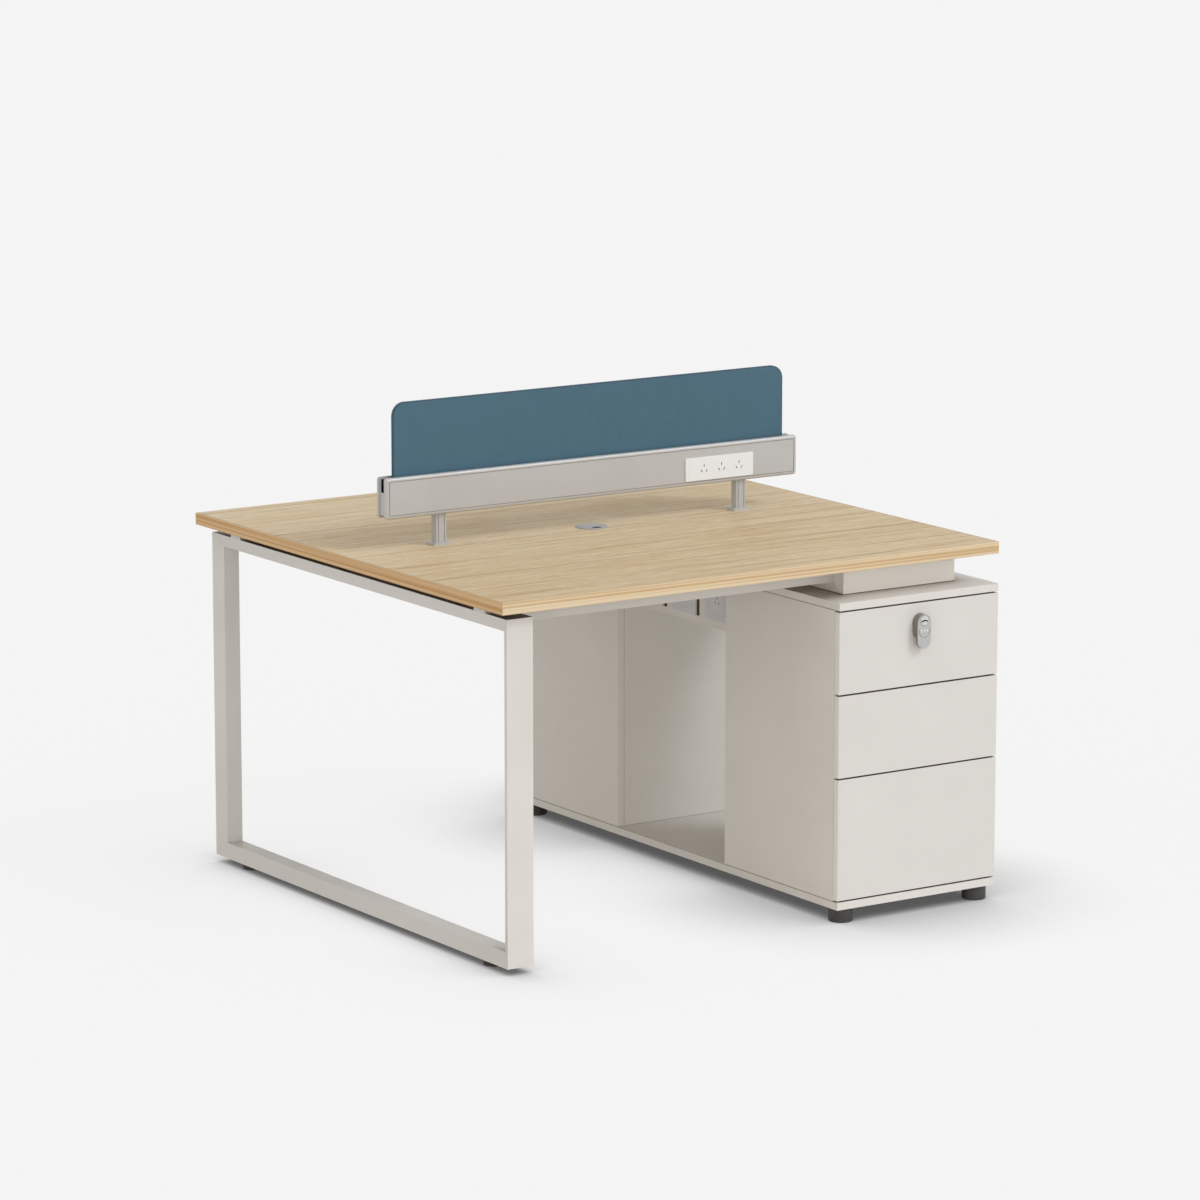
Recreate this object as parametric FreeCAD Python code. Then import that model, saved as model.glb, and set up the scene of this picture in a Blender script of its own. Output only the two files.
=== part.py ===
import FreeCAD, Part
import os
from math import cos, pi, radians, sin, sqrt

# Two-person office workstation: one top on a loop leg and a drawer cabinet, with a divider in the middle.
# Millimetres. The origin is on the floor under the middle of the top, +X points to the cabinet, +Z is up.
# One person sits on the near side (-Y), the other on the far side (+Y).

V = FreeCAD.Vector
ACROSS = V(1, 0, 0)
INWARD = V(0, 1, 0)
UP = V(0, 0, 1)

# Shared values
cut_overrun = 5.0           # how far every cutter runs past the face it opens
same_place = 0.001          # points nearer than this count as one place
pin_play = 0.05             # radial play of pins, studs and spindles in their holes
screw_play = 0.2            # radial play of screws in their holes
loose_play = 0.3            # gap around pieces that turn or drop into a seat

# Desktop
desk_length = 1200.0
desk_depth = 1200.0
desk_height = 750.0
desk_board_t = 25.0
edge_band_t = 2.0
edge_round = 1.0
desk_screw_d = 5.0
desk_screw_bite = 15.0      # depth of the screws in the board
desk_screw_head_d = 9.0
desk_screw_head_h = 3.0
desk_screw_count = 3        # along each beam
desk_screw_inset = 120.0    # from the beam's ends

# Cable grommet
grommet_hole_d = 60.0
grommet_flange_d = 68.0
grommet_flange_h = 2.0
grommet_wall = 1.7
grommet_ledge_w = 2.3
grommet_ledge_h = 3.0
grommet_cap_t = 3.0
cable_notch_w = 21.0
cable_notch_depth = 16.0

# Loop leg of trapezoid tube
leg_inset = 25.0            # from the desktop's edges
leg_face_w = 60.0           # outer face of the tube
leg_inner_w = 36.0          # inner face of the tube
leg_tube_depth = 28.0
leg_wall = 1.5
saddle_h = 15.0             # gap between the leg and the desktop
glide_d = 40.0
glide_h = 15.0
glide_rim_h = 4.0
glide_neck_d = 24.0
glide_inset = 100.0         # from the leg's outer face to the glide's axis
glide_stud_d = 8.0
glide_stud_spare = 4.0      # stud past its nut
weld_nut_af = 13.0
weld_nut_h = 8.0

# Beams under the desktop
beam_size = 40.0
beam_wall = 1.5
beam_inset = 99.0           # from the leg's outer face to the beam's middle
beam_plate_t = 3.0
tongue_length = 60.0
frame_screw_d = 8.0
frame_screw_head_d = 14.0
frame_screw_head_h = 5.0
frame_screw_spare = 5.0     # thread past the last wall
frame_screw_pitch = 24.0
driver_hole_d = 12.0

# Cabinet
cabinet_w = 400.0
bay_w = 400.0               # open bay between the two pedestals
panel_t = 16.0
foot_d = 50.0
foot_h = 30.0
foot_inset = 30.0           # from the cabinet's edges to the foot's axis
foot_spigot_d = 10.0
foot_spigot_h = 10.0
riser_h = 62.0
riser_side_inset = 60.0
riser_end_inset = 70.0

# Wiring panel in the bay
wiring_panel_h = 118.0
wiring_panel_setback = 36.0
wiring_plate_size = 86.0
wiring_plate_t = 3.0
wiring_box_size = 60.0
wiring_box_depth = 30.0
wiring_margin = 18.5
wiring_land = 14.0          # least panel left between a plate and the next cable slot
cable_slot_w = 10.0
plate_groove_inset = 12.0
plate_groove_w = 1.2
plate_groove_depth = 0.6

# Drawers
drawer_gap = 3.0
upper_drawer_h = 169.0
front_gap = 0.5             # between a closed front and the cabinet sides
box_lift = 15.0             # from the front's lower edge to the box
box_side_t = 12.0
box_floor_t = 5.0
box_lock_clearance = 3.0
slide_h = 45.0
slide_t = 12.7
slide_sheet = 1.2
slide_play = 0.4
slide_setback = 2.0
slide_back_gap = 15.5

# Lock and pull on the top drawers
lock_drop = 22.0            # from the drawer's upper edge
lock_w = 34.0
lock_h = 70.0
lock_depth = 17.0           # how far it stands out of the front
lock_plate_t = 5.0
lock_floor = 9.7            # housing under the dials
barrel_d = 18.0
barrel_spare = 1.0
barrel_nut_af = 24.0
barrel_nut_h = 5.0
knob_d = 20.0
knob_rim = 2.0
knob_t = 3.5
knob_proud = 0.5
knob_groove_w = 2.2
knob_groove_depth = 2.4
knob_groove_d = 24.0
knob_dimple_d = 4.0
knob_dimple_turn = 30.0     # degrees from the top of the groove
spindle_d = 8.0
cam_w = 16.0
cam_t = 2.0
cam_bite = 8.0              # how deep the turned cam stands in the cabinet top
cam_clearance = 1.0
dial_count = 3
dial_d = 14.0
dial_w = 4.8
dial_pitch = 7.5
dial_proud = 0.8
dial_end_gap = 1.0
dial_land = 5.0             # between the knob and the dials
dial_notches = 10
dial_notch_d = 1.2
dial_axle_d = 3.0
axle_end_wall = 3.5
dial_line_d = 27.0          # round line under the dials
dial_line_w = 0.8
dial_line_depth = 0.6

# Divider
cover_length = 1014.0
cover_h = 84.0
cover_t = 10.0
cover_corner_r = 6.0
cover_round = 5.0
cover_line_inset = 7.0
cover_line_w = 1.2
cover_line_depth = 0.8
cover_lip = 7.0             # cover below the core
core_end_inset = 3.0
core_h = 72.0
core_t = 20.0
core_wall = 1.6
core_slot_depth = 25.0
core_plug_t = 3.0
screen_length = 960.0
screen_t = 8.0
screen_h = 180.0
screen_corner_r = 28.0
gasket_t = 1.0
post_spacing = 742.0
post_w = 24.0
post_t = 18.0
post_groove_w = 3.0
post_groove_depth = 1.5
post_groove_inset = 3.5
post_h = 67.0
post_base_w = 40.0
post_base_t = 30.0
post_base_h = 6.0
post_base_round = 3.0
bolt_d = 8.0
bolt_head_d = 16.0
bolt_head_h = 5.0
bolt_nut_af = 13.0
bolt_nut_h = 6.5
bolt_spare = 1.5

# Power module in the divider
module_w = 172.0
module_h = 49.0
module_proud = 3.0
module_round = 2.0
module_end_inset = 114.0    # from the cover's end
module_top_inset = 25.0     # from the cover's upper edge
module_rim = 6.0            # flange around the body that goes into the divider
module_bolt_clearance = 3.5
module_line_inset = 10.0
outlet_count = 3
outlet_pitch = 44.5

# Pin slots of an outlet
pin_slot_w = 1.8
pin_slot_l = 6.5
pin_slot_depth = 10.0
earth_slot_rise = 6.5
live_slot_drop = 4.5
live_slot_offset = 6.5
live_slot_tilt = 30.0       # degrees

# Places worked out from the sizes above
desk_x = desk_length / 2
desk_y = desk_depth / 2
desk_under = desk_height - desk_board_t
leg_x = leg_inset + leg_face_w / 2 - desk_x
leg_y = desk_y - leg_inset
leg_low = glide_h
leg_high = desk_under - saddle_h
leg_mid_z = (leg_low + leg_high) / 2
leg_half_h = (leg_high - leg_low) / 2
leg_right = leg_x + leg_face_w / 2
glide_y = leg_y - glide_inset
beam_y = leg_y - beam_inset
cabinet_x = (desk_x - cabinet_w, desk_x)
cabinet_mid = desk_x - cabinet_w / 2
cabinet_inner = (cabinet_x[0] + panel_t, cabinet_x[1] - panel_t)
cabinet_top = desk_under - riser_h
inner_high = cabinet_top - panel_t
inner_low = foot_h + panel_t
riser_x = (cabinet_x[0] + riser_side_inset, cabinet_x[1] - riser_side_inset)
riser_y = desk_y - riser_end_inset
front_y = -desk_y                       # face of the near drawers
side_front = front_y + panel_t + front_gap
bay_y = bay_w / 2
core_low = desk_height + post_base_h + post_h
core_high = core_low + core_h
core_x = cover_length / 2 - core_end_inset
core_floor = core_low + core_wall
slot_floor = core_high - core_slot_depth
cover_z = (core_low - cover_lip, core_low - cover_lip + cover_h)
cover_y = (-core_t / 2 - cover_t, -core_t / 2)
bolt_end = core_floor + bolt_nut_h + bolt_spare
top_drawer_high = inner_high - drawer_gap
lock_top = top_drawer_high - lock_drop
knob_z = lock_top - knob_rim - knob_d / 2
dial_room_r = dial_d / 2 + loose_play
dial_z = knob_z - knob_d / 2 - dial_land - dial_d / 2
lock_face = front_y - lock_depth
dial_y = lock_face + dial_d / 2 - dial_proud
barrel_end = front_y + panel_t + barrel_nut_h + barrel_spare
cam_reach = inner_high + cam_bite - knob_z
box_drop = top_drawer_high - knob_z + barrel_nut_af / 2 + box_lock_clearance


def about(centre, size):
    return (centre - size / 2, centre + size / 2)


def block(x, y, z):
    return Part.makeBox(x[1] - x[0], y[1] - y[0], z[1] - z[0], V(x[0], y[0], z[0]))


def rod(start, axis, length, diameter):
    return Part.makeCylinder(diameter / 2, length, start, axis)


def hole(start, axis, length, diameter):
    longer = V(axis).multiply(cut_overrun)
    return rod(start - longer, axis, length + 2 * cut_overrun, diameter)


def hexagon(start, across_flats, height):
    corner_r = across_flats / sqrt(3)
    corners = [start + V(corner_r * cos(k * pi / 3), corner_r * sin(k * pi / 3), 0) for k in range(6)]
    return Part.Face(Part.makePolygon(corners + corners[:1])).extrude(V(0, 0, height))


def turned(shape, x=0):
    """The same piece for the person on the other side, turned half round about an upright axis at x."""
    copy = shape.copy()
    copy.rotate(V(x, 0, 0), UP, 180)
    return copy


def edges_along(edges, axis):
    """Those of a block's edges that run along an axis."""
    runs = [(edge, edge.Vertexes[-1].Point - edge.Vertexes[0].Point) for edge in edges]
    return [edge for edge, run in runs if run.cross(axis).Length < same_place]


def face_rim(shape, y):
    """Edges of an upright plate that lie in the plane at y."""
    return [edge for edge in shape.Edges if all(abs(end.Point.y - y) < same_place for end in edge.Vertexes)]


def rounded_plate(x, z, y, corner_r):
    """Upright plate with four rounded corners."""
    plate = block(x, y, z)
    return plate.makeFillet(corner_r, edges_along(plate.Edges, INWARD))


def on_side(side, shapes):
    """Pieces of the near pedestal, or the same pieces for the far one."""
    return shapes if side == "near" else [turned(shape, cabinet_mid) for shape in shapes]


def save(node, *solids):
    shape = solids[0] if len(solids) == 1 else Part.makeCompound(list(solids))
    shape.exportStep("parts/" + node + ".step")


# Desktop, edge bands and grommet

def desktop_screw_places():
    run = (leg_right + desk_screw_inset, riser_x[0] - desk_screw_inset)
    step = (run[1] - run[0]) / (desk_screw_count - 1)
    return [(run[0] + k * step, side * beam_y) for side in (-1, 1) for k in range(desk_screw_count)]


def desktop_board():
    x = desk_x - edge_band_t
    y = desk_y - edge_band_t
    board = block((-x, x), (-y, y), (desk_under, desk_height))
    cutters = [hole(V(0, 0, desk_under), UP, desk_board_t, grommet_hole_d)]
    for post_x in (-post_spacing / 2, post_spacing / 2):
        cutters.append(hole(V(post_x, 0, desk_under), UP, desk_board_t, bolt_d + 2 * screw_play))
    drill_d = desk_screw_d + 2 * screw_play
    for place in desktop_screw_places():
        cutters.append(rod(V(*place, desk_under), UP, desk_screw_bite + screw_play, drill_d))
    return board.cut(cutters)


def edge_band(length, reach):
    """Band along the near edge, with its two outer edges rounded."""
    band = block(about(0, length), (-reach, edge_band_t - reach), (desk_under, desk_height))
    outer = edges_along(face_rim(band, -reach), ACROSS)
    return band.makeFillet(min(edge_round, edge_band_t / 2), outer)


def edge_bands():
    near = edge_band(desk_length, desk_y)
    left = edge_band(desk_depth - 2 * edge_band_t, desk_x)
    left.rotate(V(0, 0, 0), UP, -90)
    return [near, turned(near), left, turned(left)]


def grommet_ring():
    sleeve_d = grommet_hole_d - 2 * pin_play
    seat_d = sleeve_d - 2 * grommet_wall
    cap_floor = desk_height + grommet_flange_h - grommet_cap_t
    flange = rod(V(0, 0, desk_height), UP, grommet_flange_h, grommet_flange_d)
    flange = flange.makeChamfer(grommet_flange_h / 2, [flange.Edges[0]])
    sleeve = rod(V(0, 0, desk_under), UP, desk_board_t, sleeve_d)
    ring = flange.fuse(sleeve)
    seat = rod(V(0, 0, cap_floor), UP, grommet_cap_t + cut_overrun, seat_d)
    throat = hole(V(0, 0, desk_under), UP, desk_board_t, seat_d - 2 * grommet_ledge_w)
    relief_h = cap_floor - grommet_ledge_h - desk_under
    relief = rod(V(0, 0, desk_under - cut_overrun), UP, relief_h + cut_overrun, seat_d)
    return ring.cut([seat, throat, relief]).removeSplitter()


def grommet_cap():
    cap_d = grommet_hole_d - 2 * (pin_play + grommet_wall + loose_play)
    low = desk_height + grommet_flange_h - grommet_cap_t
    cap = rod(V(0, 0, low), UP, grommet_cap_t, cap_d)
    notch_end = cable_notch_depth - cap_d / 2 - cable_notch_w / 2
    notch_z = (low - cut_overrun, low + grommet_cap_t + cut_overrun)
    throat = block(about(0, cable_notch_w), (-cap_d, notch_end), notch_z)
    end = rod(V(0, notch_end, notch_z[0]), UP, notch_z[1] - notch_z[0], cable_notch_w)
    return cap.cut([throat, end])


# Loop leg

def flat_solid(low, high):
    """Flat-faced solid between two outlines with the same number of points."""
    outlines = [low, high]
    for k in range(len(low)):
        outlines.append([low[k - 1], low[k], high[k], high[k - 1]])
    faces = [Part.Face(Part.makePolygon(points + points[:1])) for points in outlines]
    solid = Part.Solid(Part.makeShell(faces))
    if solid.Volume < 0:
        solid.reverse()
    return solid


def tube_section(inset):
    """Corners of the trapezoid tube as (sideways, depth), moved in by inset from the outside."""
    slope = (leg_face_w - leg_inner_w) / 2 / leg_tube_depth
    corners = []
    for depth in (inset, leg_tube_depth - inset):
        half = leg_face_w / 2 - slope * depth - inset * sqrt(1 + slope ** 2)
        corners.append([(-half, depth), (half, depth)])
    return corners[0] + corners[1][::-1]


def leg_member(point):
    """Hollow tube with mitred ends; point gives the place of (sideways, depth) at end -1 or 1."""
    filled = []
    for inset in (0, leg_wall):
        ends = [[point(a, d, end) for a, d in tube_section(inset)] for end in (-1, 1)]
        filled.append(flat_solid(*ends))
    return filled[0].cut(filled[1])


def leg_post(side):
    return leg_member(lambda a, d, end: V(leg_x + a, side * (leg_y - d), leg_mid_z + end * (leg_half_h - d)))


def leg_rail(side):
    return leg_member(lambda a, d, end: V(leg_x + a, end * (leg_y - d), leg_mid_z + side * (leg_half_h - d)))


def saddle_screw_places():
    return [(leg_x + k * frame_screw_pitch / 2, side * beam_y) for side in (-1, 1) for k in (-1, 1)]


def leg_top_rail():
    low = leg_high - leg_wall
    drill_d = frame_screw_d + 2 * screw_play
    return leg_rail(1).cut([hole(V(*place, low), UP, leg_wall, drill_d) for place in saddle_screw_places()])


def leg_bottom_rail():
    """The rail and the two nuts welded inside it."""
    drill_d = glide_stud_d + 2 * pin_play
    drills = [hole(V(leg_x, side * glide_y, leg_low), UP, leg_wall, drill_d) for side in (-1, 1)]
    pieces = [leg_rail(-1).cut(drills)]
    for side in (-1, 1):
        seat = V(leg_x, side * glide_y, leg_low + leg_wall)
        nut = hexagon(seat, weld_nut_af, weld_nut_h)
        pieces.append(nut.cut(hole(seat, UP, weld_nut_h, drill_d)))
    return pieces


def leg_glide(side):
    base = V(leg_x, side * glide_y, 0)
    stud_length = leg_wall + weld_nut_h + glide_stud_spare
    foot = rod(base, UP, glide_rim_h, glide_d)
    foot = foot.makeFillet(glide_rim_h / 4, foot.Edges)
    cone_low = base + V(0, 0, glide_rim_h - glide_rim_h / 4)
    cone = Part.makeCone(glide_d / 2 - glide_rim_h / 4, glide_neck_d / 2, glide_h - cone_low.z, cone_low, UP)
    stud = rod(base + V(0, 0, glide_h), UP, stud_length, glide_stud_d)
    return foot.fuse([cone, stud]).removeSplitter()


# Beams, their brackets and all screws of the frame

def beam_ends():
    return (leg_right, riser_x[0])


def desk_beam(side):
    x = beam_ends()
    y = about(side * beam_y, beam_size)
    z = (desk_under - beam_size, desk_under)
    inner_y = (y[0] + beam_wall, y[1] - beam_wall)
    inner_z = (z[0] + beam_wall, z[1] - beam_wall)
    beam = block(x, y, z).cut(block((x[0] - cut_overrun, x[1] - beam_plate_t), inner_y, inner_z))
    cutters = []
    for place in desktop_screw_places():
        cutters.append(hole(V(*place, inner_z[1]), UP, beam_wall, desk_screw_d + 2 * screw_play))
        cutters.append(hole(V(*place, z[0]), UP, beam_wall, driver_hole_d))
    for place in end_screw_places():
        start = V(x[1] - beam_plate_t, *place)
        cutters.append(hole(start, ACROSS, beam_plate_t, frame_screw_d + 2 * screw_play))
    return beam.cut(cutters)


def end_screw_places():
    z = desk_under - beam_size / 2
    offsets = (-frame_screw_pitch / 4, frame_screw_pitch / 4)
    return [(side * beam_y + offset, z) for side in (-1, 1) for offset in offsets]


def beam_bracket(side):
    """Saddle between the leg and the desktop, with a tongue that carries the beam."""
    saddle = block(about(leg_x, leg_face_w), about(side * beam_y, beam_size), (leg_high, desk_under))
    tongue_w = beam_size - 2 * (beam_wall + screw_play)
    tongue_z = (leg_high, desk_under - beam_wall - screw_play)
    tongue_x = (leg_right, leg_right + tongue_length)
    bracket = saddle.fuse(block(tongue_x, about(side * beam_y, tongue_w), tongue_z)).removeSplitter()
    cutters = []
    for place in saddle_screw_places():
        cutters.append(hole(V(*place, leg_high), UP, saddle_h, frame_screw_d + 2 * screw_play))
        head = V(*place, desk_under - frame_screw_head_h)
        cutters.append(rod(head, UP, frame_screw_head_h + cut_overrun, frame_screw_head_d + 2 * screw_play))
    return bracket.cut(cutters)


def screw(head_start, axis, head_d, head_h, shank_d, shank_length):
    head = rod(head_start, axis, head_h, head_d)
    shank = rod(head_start + V(axis).multiply(head_h), axis, shank_length, shank_d)
    return head.fuse(shank)


def frame_screws():
    screws = []
    saddle_shank = saddle_h - frame_screw_head_h + leg_wall + frame_screw_spare
    for place in saddle_screw_places():
        start = V(*place, desk_under)
        screws.append(screw(start, -UP, frame_screw_head_d, frame_screw_head_h, frame_screw_d, saddle_shank))
    end_shank = panel_t + beam_plate_t + frame_screw_spare
    end_head_d = min(frame_screw_head_d, frame_screw_pitch / 2 - screw_play)
    for place in end_screw_places():
        start = V(riser_x[0] + panel_t + frame_screw_head_h, *place)
        screws.append(screw(start, -ACROSS, end_head_d, frame_screw_head_h, frame_screw_d, end_shank))
    top_shank = beam_wall + desk_screw_bite
    for place in desktop_screw_places():
        start = V(*place, desk_under - beam_wall - desk_screw_head_h)
        screws.append(screw(start, UP, desk_screw_head_d, desk_screw_head_h, desk_screw_d, top_shank))
    return screws


# Divider with its screen, posts and power modules

def chamber_y():
    return about(0, core_t - 2 * core_wall)


def chamber_z():
    return (core_floor, slot_floor - core_wall)


def divider_core():
    x = (-core_x, core_x)
    over_x = (-core_x - cut_overrun, core_x + cut_overrun)
    core = block(x, about(0, core_t), (core_low, core_high))
    slot = block(over_x, about(0, screen_t + 2 * gasket_t), (slot_floor, core_high + cut_overrun))
    chamber = block(over_x, chamber_y(), chamber_z())
    window = module_window()
    drills = [hole(V(x, 0, core_low), UP, core_wall, bolt_d + 2 * screw_play) for x in post_places()]
    return core.cut([slot, chamber, window, turned(window)] + drills)


def divider_end_plugs():
    """Plates that close the chamber of the core at both ends."""
    plug = block((core_x - core_plug_t, core_x), chamber_y(), chamber_z())
    return [plug, turned(plug)]


def divider_cover():
    x = cover_length / 2
    plate = rounded_plate((-x, x), cover_z, cover_y, cover_corner_r)
    plate = plate.makeFillet(min(cover_round, cover_t / 2), face_rim(plate, cover_y[0]))
    line_y = (cover_y[0] - cut_overrun, cover_y[0] + cover_line_depth)
    line = inset_frame((-x, x), cover_z, line_y, cover_line_inset, cover_line_w)
    return plate.cut([line, module_window()])


def inset_frame(x, z, y, inset, width):
    """Frame-shaped cutter, inset from the edges of an upright plate."""
    outer = block((x[0] + inset, x[1] - inset), y, (z[0] + inset, z[1] - inset))
    more = inset + width
    return outer.cut(block((x[0] + more, x[1] - more), y, (z[0] + more, z[1] - more)))


def divider_screen():
    x = screen_length / 2
    panel_z = (slot_floor, slot_floor + screen_h)
    panel = rounded_plate((-x, x), panel_z, about(0, screen_t), screen_corner_r)
    foot = block((-x, x), about(0, screen_t), (slot_floor, slot_floor + screen_corner_r))
    return panel.fuse(foot).removeSplitter()


def screen_gaskets():
    x = screen_length / 2
    strip = block((-x, x), (-screen_t / 2 - gasket_t, -screen_t / 2), (slot_floor, core_high))
    return [strip, turned(strip)]


def post_places():
    return (-post_spacing / 2, post_spacing / 2)


def divider_post(x):
    low = desk_height + post_base_h
    post = block(about(x, post_w), about(0, post_t), (low, core_low))
    cutters = [hole(V(x, 0, low), UP, post_h, bolt_d + 2 * screw_play)]
    groove_z = (low - cut_overrun, core_low + cut_overrun)
    groove_y = (-post_t / 2 - cut_overrun, -post_t / 2 + post_groove_depth)
    for side in (-1, 1):
        groove_x = about(x + side * (post_w / 2 - post_groove_inset - post_groove_w / 2), post_groove_w)
        groove = block(groove_x, groove_y, groove_z)
        cutters += [groove, turned(groove, x)]
    return post.cut(cutters)


def post_base(x):
    z = (desk_height, desk_height + post_base_h)
    base = block(about(x, post_base_w), about(0, post_base_t), z)
    base = base.makeFillet(post_base_round, edges_along(base.Edges, UP))
    return base.cut(hole(V(x, 0, z[0]), UP, post_base_h, bolt_d + 2 * screw_play))


def divider_bolts():
    pieces = []
    for x in post_places():
        start = V(x, 0, desk_under - bolt_head_h)
        pieces.append(screw(start, UP, bolt_head_d, bolt_head_h, bolt_d, bolt_end - desk_under))
        seat = V(x, 0, core_floor)
        nut = hexagon(seat, bolt_nut_af, bolt_nut_h)
        pieces.append(nut.cut(hole(seat, UP, bolt_nut_h, bolt_d + 2 * pin_play)))
    return pieces


def module_box():
    """Outside of the near power module as (x, z) pairs."""
    right = cover_length / 2 - module_end_inset
    high = cover_z[1] - module_top_inset
    return (right - module_w, right), (high - module_h, high)


def module_body(play):
    """The part of the near module that stands in the divider, grown by play for its window."""
    x, z = module_box()
    low = max(z[0] + module_rim, bolt_end + module_bolt_clearance)
    high = min(z[1] - module_rim, slot_floor - 2 * core_wall)
    y = (cover_y[0], core_t / 2 - 2 * core_wall)
    return block((x[0] + module_rim - play, x[1] - module_rim + play), y, (low - play, high + play))


def module_window():
    window = module_body(loose_play)
    return window.fuse(window.translated(V(0, -cut_overrun, 0)))


def power_module():
    x, z = module_box()
    face_y = cover_y[0] - module_proud
    flange = rounded_plate(x, z, (face_y, cover_y[0]), module_round)
    flange = flange.makeFillet(min(module_round, module_proud) / 3, face_rim(flange, face_y))
    module = flange.fuse(module_body(0))
    line_x = about(x[0] + module_line_inset, plate_groove_w)
    line_y = (face_y - cut_overrun, face_y + plate_groove_depth)
    cutters = [block(line_x, line_y, (z[0] - cut_overrun, z[1] + cut_overrun))]
    middle_x = (x[0] + module_line_inset + x[1]) / 2
    middle_z = (z[0] + z[1]) / 2
    for k in range(outlet_count):
        outlet_x = middle_x + (k - (outlet_count - 1) / 2) * outlet_pitch
        cutters += [slot.translated(V(outlet_x, face_y, middle_z)) for slot in pin_slots()]
    return module.cut(cutters)


def pin_slots():
    """Three slots of an outlet whose face is at y = 0 and looks towards -Y."""
    y = (-cut_overrun, pin_slot_depth)
    upright = block(about(0, pin_slot_w), y, about(0, pin_slot_l))
    slots = [upright.translated(V(0, 0, earth_slot_rise))]
    for side in (-1, 1):
        slot = upright.copy()
        slot.rotate(V(0, 0, 0), INWARD, side * live_slot_tilt)
        slots.append(slot.translated(V(side * live_slot_offset, 0, -live_slot_drop)))
    return slots


# Cabinet carcass and wiring panel

def cabinet_base_board():
    board = block(cabinet_x, (-desk_y, desk_y), (foot_h, inner_low))
    drill_d = foot_spigot_d + 2 * pin_play
    drills = [rod(V(*place, foot_h), UP, foot_spigot_h + loose_play, drill_d) for place in foot_places()]
    return board.cut(drills)


def foot_places():
    x_pair = (cabinet_x[0] + foot_inset, cabinet_x[1] - foot_inset)
    return [(x, side * (desk_y - foot_inset)) for x in x_pair for side in (-1, 1)]


def cabinet_foot(place):
    foot = rod(V(*place, 0), UP, foot_h, foot_d)
    foot = foot.makeChamfer(foot_h / 15, [foot.Edges[0], foot.Edges[2]])
    return foot.fuse(rod(V(*place, foot_h), UP, foot_spigot_h, foot_spigot_d))


def cabinet_top_board():
    board = block(cabinet_x, (-desk_y, desk_y), (inner_high, cabinet_top))
    mortise = cam_mortise()
    return board.cut([mortise, turned(mortise, cabinet_mid)])


def cam_mortise():
    """Room that the turning cam of the near lock needs in the board above it."""
    corner_r = sqrt(cam_reach ** 2 + (cam_w / 2) ** 2)
    run = sqrt(corner_r ** 2 - (inner_high - knob_z) ** 2) + cam_clearance
    x = (cabinet_mid - cam_w / 2 - cam_clearance, cabinet_mid + run)
    cam_y = barrel_end + loose_play
    y = (cam_y - cam_clearance, cam_y + cam_t + cam_clearance)
    high = knob_z + corner_r + cam_clearance
    return block(x, y, (inner_high - cut_overrun, high))


def pedestal_sides():
    z = (inner_low, inner_high)
    left = block((cabinet_x[0], cabinet_inner[0]), (side_front, -bay_y), z)
    right = block((cabinet_inner[1], cabinet_x[1]), (side_front, -bay_y), z)
    return [left, right, turned(left, cabinet_mid), turned(right, cabinet_mid)]


def pedestal_backs():
    back = block(cabinet_inner, (-bay_y - panel_t, -bay_y), (inner_low, inner_high))
    return [back, turned(back, cabinet_mid)]


def cabinet_riser():
    z = (cabinet_top, desk_under)
    near = block(riser_x, (-riser_y, -riser_y + panel_t), z)
    inner_y = riser_y - panel_t
    left = block((riser_x[0], riser_x[0] + panel_t), (-inner_y, inner_y), z)
    drill_d = frame_screw_d + 2 * screw_play
    left = left.cut([hole(V(riser_x[0], *place), ACROSS, panel_t, drill_d) for place in end_screw_places()])
    right = block((riser_x[1] - panel_t, riser_x[1]), (-inner_y, inner_y), z)
    return [near, turned(near, cabinet_mid), left, right]


def wiring_places():
    """Middle of each wiring plate along the bay; the count follows the bay's width."""
    run = bay_w - 2 * wiring_margin
    count = int(run // (wiring_plate_size + cable_slot_w + wiring_land))
    pitch = run / count
    return [(k - (count - 1) / 2) * pitch for k in range(count)]


def wiring_z():
    return about(inner_high - wiring_panel_h / 2, wiring_plate_size)


def wiring_panel():
    x = (cabinet_x[0] + wiring_panel_setback, cabinet_x[0] + wiring_panel_setback + panel_t)
    panel = block(x, (-bay_y, bay_y), (inner_high - wiring_panel_h, inner_high))
    over_x = (x[0] - cut_overrun, x[1] + cut_overrun)
    cutters = []
    for y in wiring_places():
        box_z = about(inner_high - wiring_panel_h / 2, wiring_box_size + 2 * loose_play)
        cutters.append(block(over_x, about(y, wiring_box_size + 2 * loose_play), box_z))
        slot_high = y - wiring_plate_size / 2
        cutters.append(block(over_x, (slot_high - cable_slot_w, slot_high), wiring_z()))
    return panel.cut(cutters)


def wiring_plate(y, has_outlet):
    panel_face = cabinet_x[0] + wiring_panel_setback
    face_x = panel_face - wiring_plate_t
    middle_z = inner_high - wiring_panel_h / 2
    plate = block((face_x, panel_face), about(y, wiring_plate_size), wiring_z())
    box_x = (panel_face, panel_face + wiring_box_depth)
    plate = plate.fuse(block(box_x, about(y, wiring_box_size), about(middle_z, wiring_box_size)))
    size = about(0, wiring_plate_size)
    groove = inset_frame(size, size, (-cut_overrun, plate_groove_depth), plate_groove_inset, plate_groove_w)
    cutters = [groove] + (pin_slots() if has_outlet else [])
    for cutter in cutters:
        cutter.rotate(V(0, 0, 0), UP, -90)
        cutter.translate(V(face_x, y, middle_z))
    return plate.cut(cutters)


def wiring_plates():
    places = wiring_places()
    return [wiring_plate(y, y == places[0]) for y in places]


# Drawers and their slides, made for the near pedestal

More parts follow.
